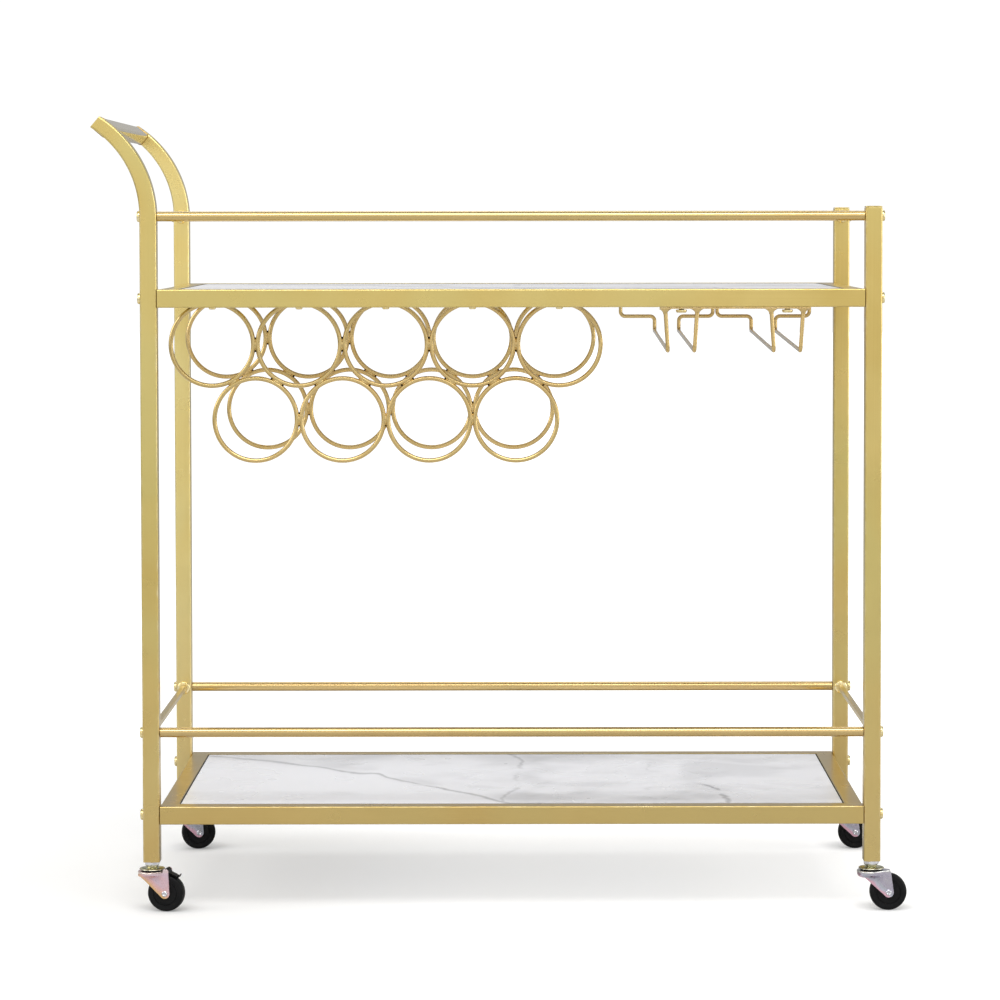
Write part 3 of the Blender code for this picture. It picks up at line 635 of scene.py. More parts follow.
def blob(shape, centre, size, seed, matrix=Matrix.Identity(4)):
    """A small weld bead: an ellipsoid of the three half sizes, roughened by noise."""
    made = bmesh.ops.create_icosphere(shape.bm, subdivisions=2, radius=1.0)
    for vertex in made["verts"]:
        ripple = 1 + 0.16 * noise.noise(vertex.co * 2.3 + Vector((seed, 0, 0)))
        local = Vector(vertex.co[i] * size[i] * ripple for i in range(3))
        vertex.co = Vector(centre) + matrix.to_3x3() @ local
        vertex[shape.grain] = (vertex.co.x, vertex.co.z, 0)


def add_piece(name, shape, material, body="frame", replaces=(), matrix=None, sharp=40):
    """Finish a shape as a smooth-shaded piece that rides on a body."""
    mesh = shape.mesh(name, matrix)
    mesh.materials.append(material)
    mesh.shade_smooth()
    mesh.set_sharp_from_angle(angle=math.radians(sharp))
    piece = bpy.data.objects.new(name, mesh)
    SCENE.collection.objects.link(piece)
    normals = piece.modifiers.new("weighted_normals", "WEIGHTED_NORMAL")
    normals.keep_sharp = True
    normals.weight = 80
    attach(piece, body)
    if replaces:
        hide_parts(*replaces)


# ---- posts and handle ----
def bend_heights(high):
    """Heights where the inner and the outer arc of a handle bend start, below its top."""
    inner_z = high.z - OUTER_BEND * math.sin(BEND_ANGLE) + BEND_DROP
    return inner_z, inner_z - BEND_DROP


def bend_outline(high, turn):
    """Points of a bent post's outline on the inner and the outer arc, at an angle."""
    straight = middle("front_left_caster_stem").x
    left = straight - (high.x - straight)
    inner_z, outer_z = bend_heights(high)
    along, up = math.cos(turn), math.sin(turn)
    inner = Vector((left - INNER_BEND + INNER_BEND * along, 0, inner_z + INNER_BEND * up))
    outer = Vector((high.x - OUTER_BEND + OUTER_BEND * along, 0, outer_z + OUTER_BEND * up))
    return inner, outer


def bent_post(node):
    """The post's outline leans over on two arcs, so the tube is thinner at its closed end."""
    low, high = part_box(node)
    straight = middle("front_left_caster_stem").x
    half_v = (high.y - low.y) / 2
    y = (low.y + high.y) / 2

    def station(place, u_axis, half_u):
        return place, u_axis, (0, 1, 0), half_u, half_v, POST_CORNER

    upright = (low.z, bend_heights(high)[1] - 0.002)
    stations = [station((straight, y, z), (1, 0, 0), high.x - straight) for z in upright]
    for step in range(BEND_STEPS + 1):
        inner, outer = bend_outline(high, BEND_ANGLE * step / BEND_STEPS)
        across = outer - inner
        centre = (inner + outer) / 2 + Vector((0, y, 0))
        stations.append(station(centre, across.normalized(), across.length / 2))
    shape = Shape()
    sweep(shape, stations, 0.0004)
    # The rear post takes the lighter copy of the gold, as painted light.
    add_piece(f"{node}_tube", shape, PAINTED_LIGHT_GOLD if node.startswith("rear") else GOLD, replaces=[node])


def straight_post(node):
    shape = Shape()
    square_tube(shape, *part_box(node), "Z", POST_CORNER, 0.0008)
    add_piece(f"{node}_tube", shape, GOLD, replaces=[node])


def post_cap(node):
    """A pressed-in cap with a slightly crowned top."""
    low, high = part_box(node)
    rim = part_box(node.replace("_cap", ""))[1].z + GAP
    centre = (low + high) / 2
    half = (high - low) / 2
    shape = Shape()
    rings = []
    plug = 0.0022                 # how far the part inside the tube stands in
    for inset, z in ((plug, low.z), (plug, rim), (0, rim), (0, rim + 0.0006),
                     (0.0006, high.z - 0.0003), (0.003, high.z)):
        corner = max(POST_CORNER - inset, 0.0004)
        rings.append([
            shape.point((centre.x + u, centre.y + v, z), wear_and_sheen, 0.5, (u, v, 0))
            for u, v, wear_and_sheen in rounded_section(half.x - inset, half.y - inset, corner)
        ])
    shape.skin(rings)
    add_piece(f"{node}_pressed", shape, GOLD, replaces=[node])


def handle_bar():
    """The grip: a flattened tube between the bent posts, welded to them along its ends."""
    low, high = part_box("handle_bar")
    inner, outer = bend_outline(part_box("front_left_post")[1], BEND_ANGLE)
    across = (outer - inner).normalized()
    along = Vector((across.z, 0, -across.x))
    half_u, half_v = BAR_WIDTH / 2, (outer - inner).length / 2
    centre = (inner + outer) / 2 + along * half_u
    shape = Shape()
    ends = [centre + Vector((0, y, 0)) for y in (low.y, high.y)]
    sweep(shape, [(end, along, across, half_u, half_v, BAR_CORNER) for end in ends], 0.0003)
    add_piece("handle_bar_grip", shape, GRIP_GOLD, replaces=["handle_bar"])
    seams = Shape()
    for y in (low.y + 0.0002, high.y - 0.0002):
        section = rounded_section(half_u, half_v, BAR_CORNER)
        path = [centre + along * u + across * v + Vector((0, y, 0)) for u, v, _ in section]
        round_wire(seams, path, 0.0007, 8, cyclic=True)
    add_piece("handle_bar_seams", seams, WELD_GOLD)


# ---- shelves ----
def shelf(level, cross_bars):
    frame_node = f"{level}_shelf_frame"
    low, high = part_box(frame_node)
    inner_low, inner_high = low.y + TUBE, high.y - TUBE
    centre_x = (low.x + high.x) / 2
    panel_low, panel_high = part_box(f"{level}_shelf_panel")
    shape = Shape()
    for y_low, y_high in ((low.y, inner_low), (inner_high, high.y)):
        square_tube(shape, (low.x, y_low, low.z), (high.x, y_high, high.z), "X", SHELF_CORNER, 0.0003)
    for x in (low.x, high.x - TUBE):
        side_low = (x, inner_low - 0.0001, low.z)
        side_high = (x + TUBE, inner_high + 0.0001, high.z)
        square_tube(shape, side_low, side_high, "Y", SHELF_CORNER, 0.0002)
    top = panel_low.z - GAP
    width, thick = CROSS_BAR
    for offset in cross_bars:
        bar_low = (centre_x + offset - width / 2, inner_low - 0.0004, top - thick)
        bar_high = (centre_x + offset + width / 2, inner_high + 0.0004, top)
        square_tube(shape, bar_low, bar_high, "Y", 0.0006, 0.0002)
    # The lower shelf takes the darker copy of the gold, as painted shade.
    gold = PAINTED_SHADE_GOLD if level == "lower" else GOLD
    add_piece(f"{level}_shelf_tubes", shape, gold, replaces=[frame_node])

    corner_bead = (0.0013, 0.0013, 0.0028)
    bar_bead = (0.0038, 0.0012, 0.0011)
    spots = [
        ((x, y, low.z + TUBE * share), corner_bead)
        for x in (low.x + TUBE, high.x - TUBE) for y in (inner_low, inner_high)
        for share in (0.15, 0.38, 0.62, 0.85)
    ] + [
        ((centre_x + offset + step * 0.006, y, top - thick), bar_bead)
        for offset in cross_bars for y in (inner_low, inner_high) for step in (-1, 0, 1)
    ]
    beads = Shape()
    seed = 0.0
    for spot, size in spots:
        seed += 1.7
        blob(beads, spot, size, seed)
    add_piece(f"{level}_shelf_welds", beads, WELD_GOLD)

    board = Shape()
    square_tube(board, panel_low, panel_high, "X", PANEL_EDGE, PANEL_EDGE)
    panel = f"{level}_shelf_panel"
    add_piece(f"{level}_shelf_board", board, MARBLE, replaces=[panel])
    edge_strip(level, panel_low, panel_high)


def edge_strip(level, low, high):
    """A thin dark strip between a panel and its frame: a painted shadow in the gap."""
    strip = Shape()
    outer = rectangle(low, high, PANEL_LIP)
    inner = rectangle(low, high, -0.0002)
    under, top = low.z + 0.001, high.z + 0.0002
    rings = []
    for spots, z in ((outer, under), (outer, top), (inner, top), (inner, under)):
        rings.append([strip.point((x, y, z), 0.0, 0.5, (x + y, z, 0)) for x, y in spots])
    strip.skin(rings, cyclic=True)
    add_piece(f"{level}_shelf_edge_strip", strip, PAINTED_GAP_SHADE)


def rectangle(low, high, grow):
    left, right = low.x - grow, high.x + grow
    front, back = low.y - grow, high.y + grow
    return (left, front), (right, front), (right, back), (left, back)


# ---- guard rails ----
def round_rail(node):
    low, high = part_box(node)
    radius = (high.z - low.z) / 2
    half = (high.x - low.x) / 2
    lip = 0.0005
    dish = 0.0006
    stretch = [
        (radius * 0.62, half, 0.0),
        (radius - lip, half, 1.0),
        (radius - lip * 0.3, half - lip * 0.3, 1.0),
        (radius, half - lip, 0.0),
        (radius, 0.0, 0.0),
    ]
    profile = [(0, half - dish, 0.0)] + stretch
    profile += [(r, -z, wear_and_sheen) for r, z, wear_and_sheen in reversed(stretch[:-1])]
    profile.append((0, -half + dish, 0.0))
    shape = Shape()
    turned(shape, profile, 56, placed(middle(node), QUARTER_TURN, "Y"))
    add_piece(f"{node}_tube", shape, WIRE_GOLD, replaces=[node])


def side_rail(node):
    """A slim square bar whose ends sit in small domed brass collars."""
    low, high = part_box(node)
    centre = (low + high) / 2
    half = SIDE_RAIL / 2
    shape = Shape()
    bar_low = (centre.x - half, low.y + 0.0002, centre.z - half)
    bar_high = (centre.x + half, high.y - 0.0002, centre.z + half)
    square_tube(shape, bar_low, bar_high, "Y", 0.0011, 0.0003)
    add_piece(f"{node}_bar", shape, GOLD, replaces=[node])
    collars = Shape()
    radius = (high.x - low.x) / 2 + 0.0012
    profile = (
        (half * 0.7, 0.0, 0.0),
        (radius * 0.97, 0.0, 0.0),
        (radius, 0.0003, 0.6),
        (radius, SIDE_FLANGE * 0.38, 0.8),
        (radius * 0.93, SIDE_FLANGE * 0.72, 0.5),
        (radius * 0.78, SIDE_FLANGE * 0.95, 0.2),
        (half * 1.15, SIDE_FLANGE, 0.0),
        (half * 0.7, SIDE_FLANGE, 0.0),
    )
    for side, y in ((1, low.y), (-1, high.y)):
        turned(collars, profile, 32, placed((centre.x, y, centre.z), -side * QUARTER_TURN, "X"))
    add_piece(f"{node}_collars", collars, BRASS)


# ---- bolts ----
def hex_radius(turn, flats):
    """Distance from the middle of a hexagon to its side, at an angle."""
    sector = (turn + math.pi / 6) % (math.pi / 3) - math.pi / 6
    return flats / 2 / math.cos(sector)


def button_head(shape, matrix, radius, height):
    """A domed head over a thin washer, with a hexagon socket."""
    rings = []
    socket = radius * 0.56

    def ring(size, z, wear_and_sheen, hexagon=False):
        points = []
        for turn in turns(36):
            reach = hex_radius(turn, size) if hexagon else size
            points.append(shape.point(matrix @ polar(reach, turn, z), wear_and_sheen, 0.5, (z, reach * turn, 0)))
        rings.append(points)

    ring(radius * 0.5, 0.0, 0.0)
    ring(radius * 0.97, 0.0, 0.0)
    ring(radius, height * 0.10, 0.4)
    ring(radius, height * 0.38, 0.4)
    for step in range(1, 6):
        rise = math.radians(82 * step / 5)
        ring(radius * (0.76 + 0.24 * math.cos(rise)), height * (0.38 + 0.62 * math.sin(rise)), 0.5)
    ring(socket * 1.12, height, 0.2, hexagon=True)
    ring(socket, height * 0.94, 0.0, hexagon=True)
    ring(socket * 0.96, height * 0.36, 0.0, hexagon=True)
    ring(socket * 0.30, height * 0.26, 0.0)
    shape.skin(rings)


def frame_bolt(node):
    low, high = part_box(node)
    centre = (low + high) / 2
    outward = 1 if centre.x > 0 else -1
    if outward > 0:
        face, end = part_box("front_right_post")[1].x, high.x
    else:
        face, end = middle("front_left_caster_stem").x * 2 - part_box("front_left_post")[1].x, low.x
    base = Vector((face + outward * GAP * 0.3, centre.y, centre.z))
    place = placed(base, outward * QUARTER_TURN, "Y") @ Matrix.Rotation(centre.z * 40, 4, "Z")
    shape = Shape()
    button_head(shape, place, (high.z - low.z) / 2, abs(end - face) - GAP * 0.3)
    add_piece(f"{node}_head", shape, BRASS, replaces=[node])


def hanger_bolt(node):
    """A head that hangs on a short bare neck under its strip; the neck is black, a painted shadow in the
    gap.
    """
    low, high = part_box(node)
    centre = (low + high) / 2
    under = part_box("stemware_hanger")[1].z - STRIP[1]
    neck = 0.0010
    place = placed((centre.x, centre.y, under - neck), HALF_TURN, "X")
    place = place @ Matrix.Rotation(centre.x * 30, 4, "Z")
    shape = Shape()
    button_head(shape, place, (high.x - low.x) / 2, under - low.z)
    add_piece(f"{node}_head", shape, BRASS, replaces=[node])
    # Painted shade: the black neck stands for the shadow in the gap under the strip.
    shaded_neck = Shape()
    cylinder(shaded_neck, 0.0030, -neck - 0.0016, 0.0002, 20, place)
    add_piece(f"{node}_neck", shaded_neck, LEVER_BLACK)


# ---- bottle racks ----
def ring_centres(node):
    """Ring centres and radius of a rack, from its box: five rings over four."""
    low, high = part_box(node)
    radius = (high.x - low.x - RING_PITCH * (RING_COUNTS[0] - 1)) / 2 - RING_WIRE_R
    first_x = low.x + RING_WIRE_R + radius
    bottom_z = low.z + RING_WIRE_R + radius
    top_z = bottom_z + RING_PITCH * math.sqrt(3) / 2
    top = [Vector((first_x + RING_PITCH * i, 0, top_z)) for i in range(RING_COUNTS[0])]
    bottom = [Vector((first_x + RING_PITCH * (i + 0.5), 0, bottom_z)) for i in range(RING_COUNTS[1])]
    return top, bottom, radius


def bottle_rack(node):
    top, bottom, radius = ring_centres(node)
    tab_width, tab_depth, tab_thick = RING_TAB
    rack_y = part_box(node)[1].y - tab_depth * 3 / 4
    tab_z = top[0].z + radius - RING_WIRE_R
    tab_low, tab_top = tab_z - tab_thick * 0.7, tab_z + tab_thick * 0.3
    shape = Shape()
    for centre in top + bottom:
        loop = []
        for turn in turns(72):
            loop.append(centre + Vector((radius * math.cos(turn), rack_y, radius * math.sin(turn))))
        round_wire(shape, loop, RING_WIRE_R, 18, cyclic=True)
    for centre in top:
        near = (centre.x - tab_width / 2, rack_y - tab_depth / 4, tab_low)
        far = (centre.x + tab_width / 2, rack_y + tab_depth * 3 / 4, tab_top)
        square_tube(shape, near, far, "Y", 0.0006, 0.0003)
    add_piece(f"{node}_rings", shape, WIRE_GOLD, replaces=[node])
    ring_welds(node, top + bottom, rack_y, tab_z + tab_thick * 0.1)
    ring_screws(node, top, rack_y + tab_depth / 4 + 0.0015, tab_low, tab_top)


def ring_welds(node, centres, rack_y, tab_z):
    """Beads and a few small dark spots where two rings touch, and a bead at each tab."""
    welds, marks = Shape(), Shape()
    seed = 0.3 if node.startswith("front") else 40.3
    for i, first in enumerate(centres):
        for second in centres[i + 1:]:
            if (first - second).length > RING_PITCH * 1.1:
                continue
            seed += 2.1
            contact = (first + second) / 2 + Vector((0, rack_y, 0))
            away = (second - first).normalized()
            turn = Matrix.Rotation(-math.atan2(away.z, away.x), 4, "Y")
            blob(welds, contact, (0.0021, 0.0023, 0.0056), seed, turn)
            for step in (-1, 1):
                upward = turn.to_3x3() @ Vector((0, 0, 1)) * step
                blob(welds, contact + upward * 0.0042, (0.0011, 0.0019, 0.0030), seed + step, turn)
                # On some sides a small dark spot sits a little past the weld, in the crease between the
                # rings.
                size = 0.0006 + 0.0005 * noise.noise(Vector((seed, step * 3.7, 0.5)))
                if size >= 0.0005:
                    dark_spot = (size * 0.8, 0.0021, size * 1.6)
                    blob(marks, contact + upward * 0.0074, dark_spot, seed, turn)
    for centre in centres[:RING_COUNTS[0]]:
        seed += 2.1
        blob(welds, (centre.x, rack_y, tab_z), (0.0046, 0.0026, 0.0014), seed)
    add_piece(f"{node}_welds", welds, WIRE_GOLD)
    add_piece(f"{node}_weld_dark_spots", marks, DARK_SPOT_GOLD)


def ring_screws(node, centres, y, tab_low, tab_top):
    """A screw under each tab, and a sleeve between the tab and the panel."""
    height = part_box("upper_shelf_panel")[0].z - GAP - tab_top
    bore, rim, outside = 0.0021, 0.0046, 0.0049
    profile = (
        (bore, 0.0, 0.0),
        (rim, 0.0, 0.3),
        (outside, 0.0004, 0.5),
        (outside, height - 0.0004, 0.5),
        (rim, height, 0.3),
        (bore, height, 0.0),
    )
    screws, sleeves = Shape(), Shape()
    for number, centre in enumerate(centres):
        head = placed((centre.x, y, tab_low), HALF_TURN, "X")
        pan_screw(screws, head @ Matrix.Rotation(number * 0.9, 4, "Z"))
        turned(sleeves, profile, 24, Matrix.Translation((centre.x, y, tab_top)))
    add_piece(f"{node}_screws", screws, BRASS)
    add_piece(f"{node}_sleeves", sleeves, ZINC)


def pan_screw(shape, matrix):
    """A small pan head with a cross recess, pointing along the matrix's Z."""
    radius, height = 0.0041, 0.0034
    outside = ((0.4, 0.0), (1.35, 0.0), (1.35, 0.12), (1.30, 0.2), (1.0, 0.2), (1.0, 0.42),
               (0.94, 0.70), (0.80, 0.92), (0.62, 1.0))
    recess = ((0.56, 1.0), (0.44, 0.45))
    rings = []
    for share, level in outside + recess + ((0.12, 0.25),):
        ring = []
        for turn in turns(32):
            reach = share
            if (share, level) in recess:
                reach *= 0.42 + 0.58 * abs(math.cos(2 * turn)) ** 2.2
            ring.append(shape.point(matrix @ polar(radius * reach, turn, height * level), 0.3))
        rings.append(ring)
    shape.skin(rings)


# ---- stemware hanger ----
def stemware_hanger():
    """Two pairs of bent wires between a short front strip and a long rear one."""
    low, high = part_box("stemware_hanger")
    pairs = [middle(f"front_hanger_bolt_{number}").x for number in (1, 2)]
    half_strip = STRIP[0] / 2
    front_z = low.z + HANGER_WIRE_R
    shoulder = front_z + HANGER_SHOULDER_RISE
    front_y = low.y + half_strip + 0.002
    rear_y = high.y - half_strip - 0.002
    top = high.z - STRIP[1] / 2
    under = high.z - STRIP[1]
    shape, gussets = Shape(), Shape()
    for pair_x in pairs:
        for side in (-1, 1):
            x = pair_x + side * HANGER_SPREAD
            foot = x + side * HANGER_SPLAY
            outer = pair_x + side * HANGER_UPRIGHT
            points = [
                (foot, front_y, top),
                (x, front_y, front_z),
                (x, rear_y, front_z + HANGER_REAR_RISE),
                (x, rear_y, shoulder),
                (outer, rear_y, shoulder),
                (outer, rear_y, top),
            ]
            round_wire(shape, rounded_path(points, HANGER_BEND_R, 8), HANGER_WIRE_R, 18)
            gusset(gussets, Vector((foot, front_y, under)), 0.0078)
            gusset(gussets, Vector((outer, rear_y, under)), 0.0048)
    past = HANGER_SPREAD + HANGER_SPLAY + STRIP_END
    for y, left, right in ((low.y + half_strip, pairs[0] - past, pairs[1] + past),
                           (high.y - half_strip, low.x, high.x)):
        near, far = (left, y - half_strip, under), (right, y + half_strip, high.z)
        square_tube(shape, near, far, "X", 0.0006, 0.0004)
    add_piece("stemware_hanger_wires", shape, WIRE_GOLD, replaces=["stemware_hanger"])
    add_piece("stemware_hanger_gussets", gussets, WIRE_GOLD)


def gusset(shape, place, reach):
    """A flared weld foot that widens a wire where it meets its strip."""
    rings = []
    rows, depth = 6, 0.0062
    for row in range(rows + 1):
        share = row / rows
        half_x = HANGER_WIRE_R * 1.02 + (reach - HANGER_WIRE_R) * (1 - share) ** 2.6
        half_y = HANGER_WIRE_R * 1.05 + 0.0010 * (1 - share) ** 3
        ring = []
        for turn in turns(20):
            spot = place + Vector((half_x * math.cos(turn), half_y * math.sin(turn), -depth * share))
            ring.append(shape.point(spot, 0.1, 0.5, (share * depth, turn * half_x, 0)))
        rings.append(ring)
    shape.skin(rings)


# ---- casters ----
def caster_axes(corner):
    """Matrix of the swivel axis with +X towards the wheel, and the wheel's trail and radius."""
    stem = middle(f"{corner}_caster_stem")
    axle = middle(f"{corner}_wheel")
    offset = Vector((axle.x - stem.x, axle.y - stem.y))
    yaw = math.atan2(offset.y, offset.x)
    return placed((stem.x, stem.y, 0), yaw, "Z"), offset.length, axle.z


def caster_piece(corner, part, shape, material, place, rides="", stands_for="",
                 sharp=40):
    """A piece built about the swivel axis, on the frame or on one of the caster's bodies."""
    body = f"{corner}_{rides}" if rides else "frame"
    nodes = [f"{corner}_{stands_for}"] if stands_for else []
    add_piece(f"{corner}_{part}", shape, material, body, nodes, place, sharp)


def caster_stem(corner, place):
    """Chamfered hexagon nut on a domed bearing disc, over a dark race."""
    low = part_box(f"{corner}_caster_stem")[0].z
    nut_low = DISC_TOP - 0.0006
    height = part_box(f"{corner}_post")[0].z - GAP - nut_low
    skew = Matrix.Rotation(math.radians(12 if "left" in corner else 40), 3, "Z")
    nut = Shape()
    rings = []
    for level, limit in ((0.0, 0.34), (0.12, 0.36), (0.50, 0.56), (0.60, 1.0), (0.90, 1.0), (1.0, 0.53)):
        z = nut_low + height * level
        ring = []
        for turn in turns(48):
            reach = min(hex_radius(turn, NUT_FLATS), NUT_FLATS * limit)
            ring.append(nut.point(skew @ polar(reach, turn, z), 0.2, 0.5, (z, reach * turn, 0)))
        rings.append(ring)
    nut.skin(rings)
    caster_piece(corner, "caster_nut", nut, ZINC, place, stands_for="caster_stem")

    disc = Shape()
    turned(disc, (
        (0, DISC_TOP + 0.0002, 0.0),
        (DISC_R * 0.50, DISC_TOP + 0.0002, 0.0),
        (DISC_R * 0.60, DISC_TOP - 0.0001, 0.2),
        (DISC_R * 0.82, DISC_TOP - 0.0006, 0.0),
        (DISC_R * 0.94, DISC_TOP - 0.0010, 0.0),
        (DISC_R * 0.99, DISC_TOP - 0.0015, 0.5),
        (DISC_R, DISC_TOP - 0.0020, 0.8),
        (DISC_R * 0.985, DISC_LOW + 0.0001, 0.5),
        (DISC_R * 0.93, DISC_LOW, 0.0),
        (0, DISC_LOW, 0.0),
    ), 56)
    for vertex in disc.bm.verts:
        vertex[disc.film] = min(max((vertex.co.z - DISC_LOW) / (DISC_TOP - DISC_LOW), 0.0), 1.0)
    caster_piece(corner, "caster_disc", disc, DISC_FILM, place)

    race = Shape()
    cylinder(race, RACE_R, DISC_LOW + 0.0002, RACE_LOW, 40)
    for turn in turns(BALLS):
        made = bmesh.ops.create_icosphere(race.bm, subdivisions=2, radius=BALL_R)
        for vertex in made["verts"]:
            vertex.co += polar(RACE_R, turn, BALL_Z)
    caster_piece(corner, "caster_race", race, LEVER_BLACK, place)

    kingpin = Shape()
    turned(kingpin, (
        (0, low, 0.2),
        (0.0028, low, 0.2),
        (0.0044, low + 0.0005, 0.4),
        (0.0050, KINGPIN_TOP, 0.2),
        (0, KINGPIN_TOP, 0.0),
    ), 28)
    caster_piece(corner, "kingpin_head", kingpin, ZINC, place)


def leg_outline(trail, axle_z, braked):
    """Front and back edges of a fork leg, as functions of height, and where skirt and leg start."""
    skirt = 0.0410 if braked else 0.0402
    start = Vector((-0.0110, 0.0390)) if braked else Vector((-0.0082, 0.0374))
    tip = Vector((trail, axle_z))
    front_low = tip + polar(LEG_END_R, math.radians(214)).xy
    back_low = tip + polar(LEG_END_R, math.radians(8)).xy
    back_top = Vector((BRAKE_PIVOT[0] + BRAKE_EAR_R if braked else PLAIN_PLATE_END, 0.0415))

    def round_end(z):
        drop = min(max((axle_z - z) / LEG_END_R, -1.0), 1.0)
        return LEG_END_R * math.sqrt(max(1 - drop * drop, 0.0))

    def front(z):
        if z >= skirt:
            return -PLATE_R
        if z >= start.y:
            share = (skirt - z) / (skirt - start.y)
            return -PLATE_R + (start.x + PLATE_R) * (1 - math.sqrt(1 - share ** 2))
        if z < front_low.y:
            return trail - round_end(z)
        return front_low.x + (start.x - front_low.x) * (z - front_low.y) / (start.y - front_low.y)

    def back(z):
        if z < back_low.y:
            return trail + round_end(z)
        return back_low.x + (back_top.x - back_low.x) * (z - back_low.y) / (back_top.y - back_low.y)

    return front, back, skirt, start.y


def fork_leg(shape, side, outline, axle_z):
    """A pressed leg that flares into the round skirt: two sheets joined along their edges."""
    front, back, skirt, leg_top = outline
    columns = 24
    bottom = axle_z - LEG_END_R + 0.00002
    flat_z = leg_top - 0.0045
    heights = [SKIRT_TOP - (SKIRT_TOP - skirt) * i / 3 for i in range(3)]
    heights += [skirt - (skirt - leg_top) * math.sin(QUARTER_TURN * i / 8) for i in range(8)]
    for i in range(21):
        share = 0.45 * i / 20 + 0.55 * math.sin(QUARTER_TURN * i / 20)
        heights.append(leg_top - (leg_top - bottom) * share)
    edges = []
    for depth in (0, LEG):
        flat_y = LEG_OUTER - depth
        sheet = []
        for z in heights:
            flare = min(max((z - flat_z) / (skirt - flat_z), 0.0), 1.0) ** 1.6
            left, right = front(z) + depth * flare, back(z)
            rise = 0.2 * (z - bottom) / (SKIRT_TOP - bottom)
            line = []
            for column in range(columns + 1):
                x = left + (right - left) * column / columns
                round_y = math.sqrt(max((PLATE_R - depth) ** 2 - x * x, 0.0))
                if x > 0:
                    round_y = max(round_y, flat_y)
                y = side * (flat_y + (round_y - flat_y) * flare)
                film = 0.1 + 0.55 * min((x - left) / 0.012, 1.0) + rise
                line.append(shape.point((x, y, z), 0.0, film, (z, x, 0)))
            sheet.append(line)
        shape.sheet(sheet)
        down = [line[-1] for line in sheet[1:]]
        up = [line[0] for line in sheet[-2:0:-1]]
        edges.append(sheet[0] + down + sheet[-1][-2::-1] + up)
    shape.skin(edges, caps=False)


def fork_plate(shape, braked):
    """The fork's round top, drawn out to an end over the wheel."""
    lip = PLATE_R + 0.0003
    end = BRAKE_PLATE_END if braked else PLAIN_PLATE_END
    rings = []
    for inset, z, wear_and_sheen in (
        (0.0026, PLATE_LOW + 0.0006, 0.0),
        (0.0006, PLATE_LOW, 0.3),
        (0.0000, PLATE_LOW + 0.0006, 0.8),
        (0.0000, PLATE_HIGH - 0.0009, 0.8),
        (0.0003, PLATE_HIGH - 0.0004, 0.8),
        (0.0009, PLATE_HIGH, 0.3),
        (0.0035, PLATE_HIGH, 0.0),
    ):
        ring = []
        reach = lip - inset
        for turn in turns(64):
            x, y = reach * math.cos(turn), reach * math.sin(turn)
            if x > 0:
                narrow = (LEG_OUTER - inset + 0.0004) / reach
                pull = min(x / 0.010, 1.0) ** 1.5
                x *= 1 + ((end - inset) / reach - 1) * pull
                y *= 1 + (max(narrow, 0.1) - 1) * pull * 0.85
            ring.append(shape.point((x, y, z), wear_and_sheen, 0.6, (x, y, 0)))
        rings.append(ring)
    shape.skin(rings)


def caster_fork(corner, place, trail, axle_z, braked):
    """A pressed fork: a round top whose skirt narrows into two flat legs, with ears for a brake."""
    outline = leg_outline(trail, axle_z, braked)
    shape = Shape()
    for side in (-1, 1):
        fork_leg(shape, side, outline, axle_z)
    fork_plate(shape, braked)
    inside = 0.00005
    if braked:
        for low in (-LEG_OUTER, LEG_INNER):
            ear(shape, low + inside, low + LEG - inside)
    film = FORK_FILM if corner == "front_left" else PLAIN_FILM
    caster_piece(corner, "fork_pressing", shape, film, place, "swivel", "caster_fork", sharp=32)


def ear(shape, y_low, y_high):
    """The round lug on a leg that carries the brake lever's pin."""
    pivot_x, pivot_z = BRAKE_PIVOT
    rim = 0.0003
    outline = arc(BRAKE_PIVOT, BRAKE_EAR_R, math.radians(-60), math.radians(200), 18)
    outline += [(pivot_x - 0.0052, 0.0432), (pivot_x - 0.0020, 0.0400)]
    rings = []
    for inset, y in ((rim, y_low), (0.0, y_low + rim), (0.0, y_high - rim), (rim, y_high)):
        ring = []
        for x, z in outline:
            toward = Vector((pivot_x - x, pivot_z - z)).normalized() * inset
            ring.append(shape.point((x + toward.x, y, z + toward.y), 0.4, 0.8, (x, z, 0)))
        rings.append(ring)
    shape.skin(rings)


def axle_rivet(corner, place, trail, axle_z):
    """A spun-over rivet: both heads dished, with a rounded lip."""
    shape = Shape()
    shoulder = LEG_OUTER + GAP * 0.3
    profile = (
        (0, shoulder + 0.0003, 0.0),
        (0.0009, shoulder + 0.0004, 0.0),
        (0.0014, shoulder + 0.0010, 0.4),
        (0.0020, shoulder + 0.0015, 0.6),
        (0.0026, shoulder + 0.0014, 0.4),
        (0.0031, shoulder + 0.0009, 0.2),
        (0.0034, shoulder + 0.0002, 0.0),
        (0.0034, shoulder - 0.0001, 0.0),
        (0.0026, shoulder - 0.0001, 0.0),
        (0, shoulder - 0.0001, 0.0),
    )
    axle = (trail, 0, axle_z)
    for side in (-1, 1):
        turned(shape, profile, 32, placed(axle, -side * QUARTER_TURN, "X"))
    cylinder(shape, 0.0024, shoulder, -shoulder, 24, placed(axle, QUARTER_TURN, "X"))
    caster_piece(corner, "axle_pin", shape, ZINC, place, "swivel", "axle_rivet")


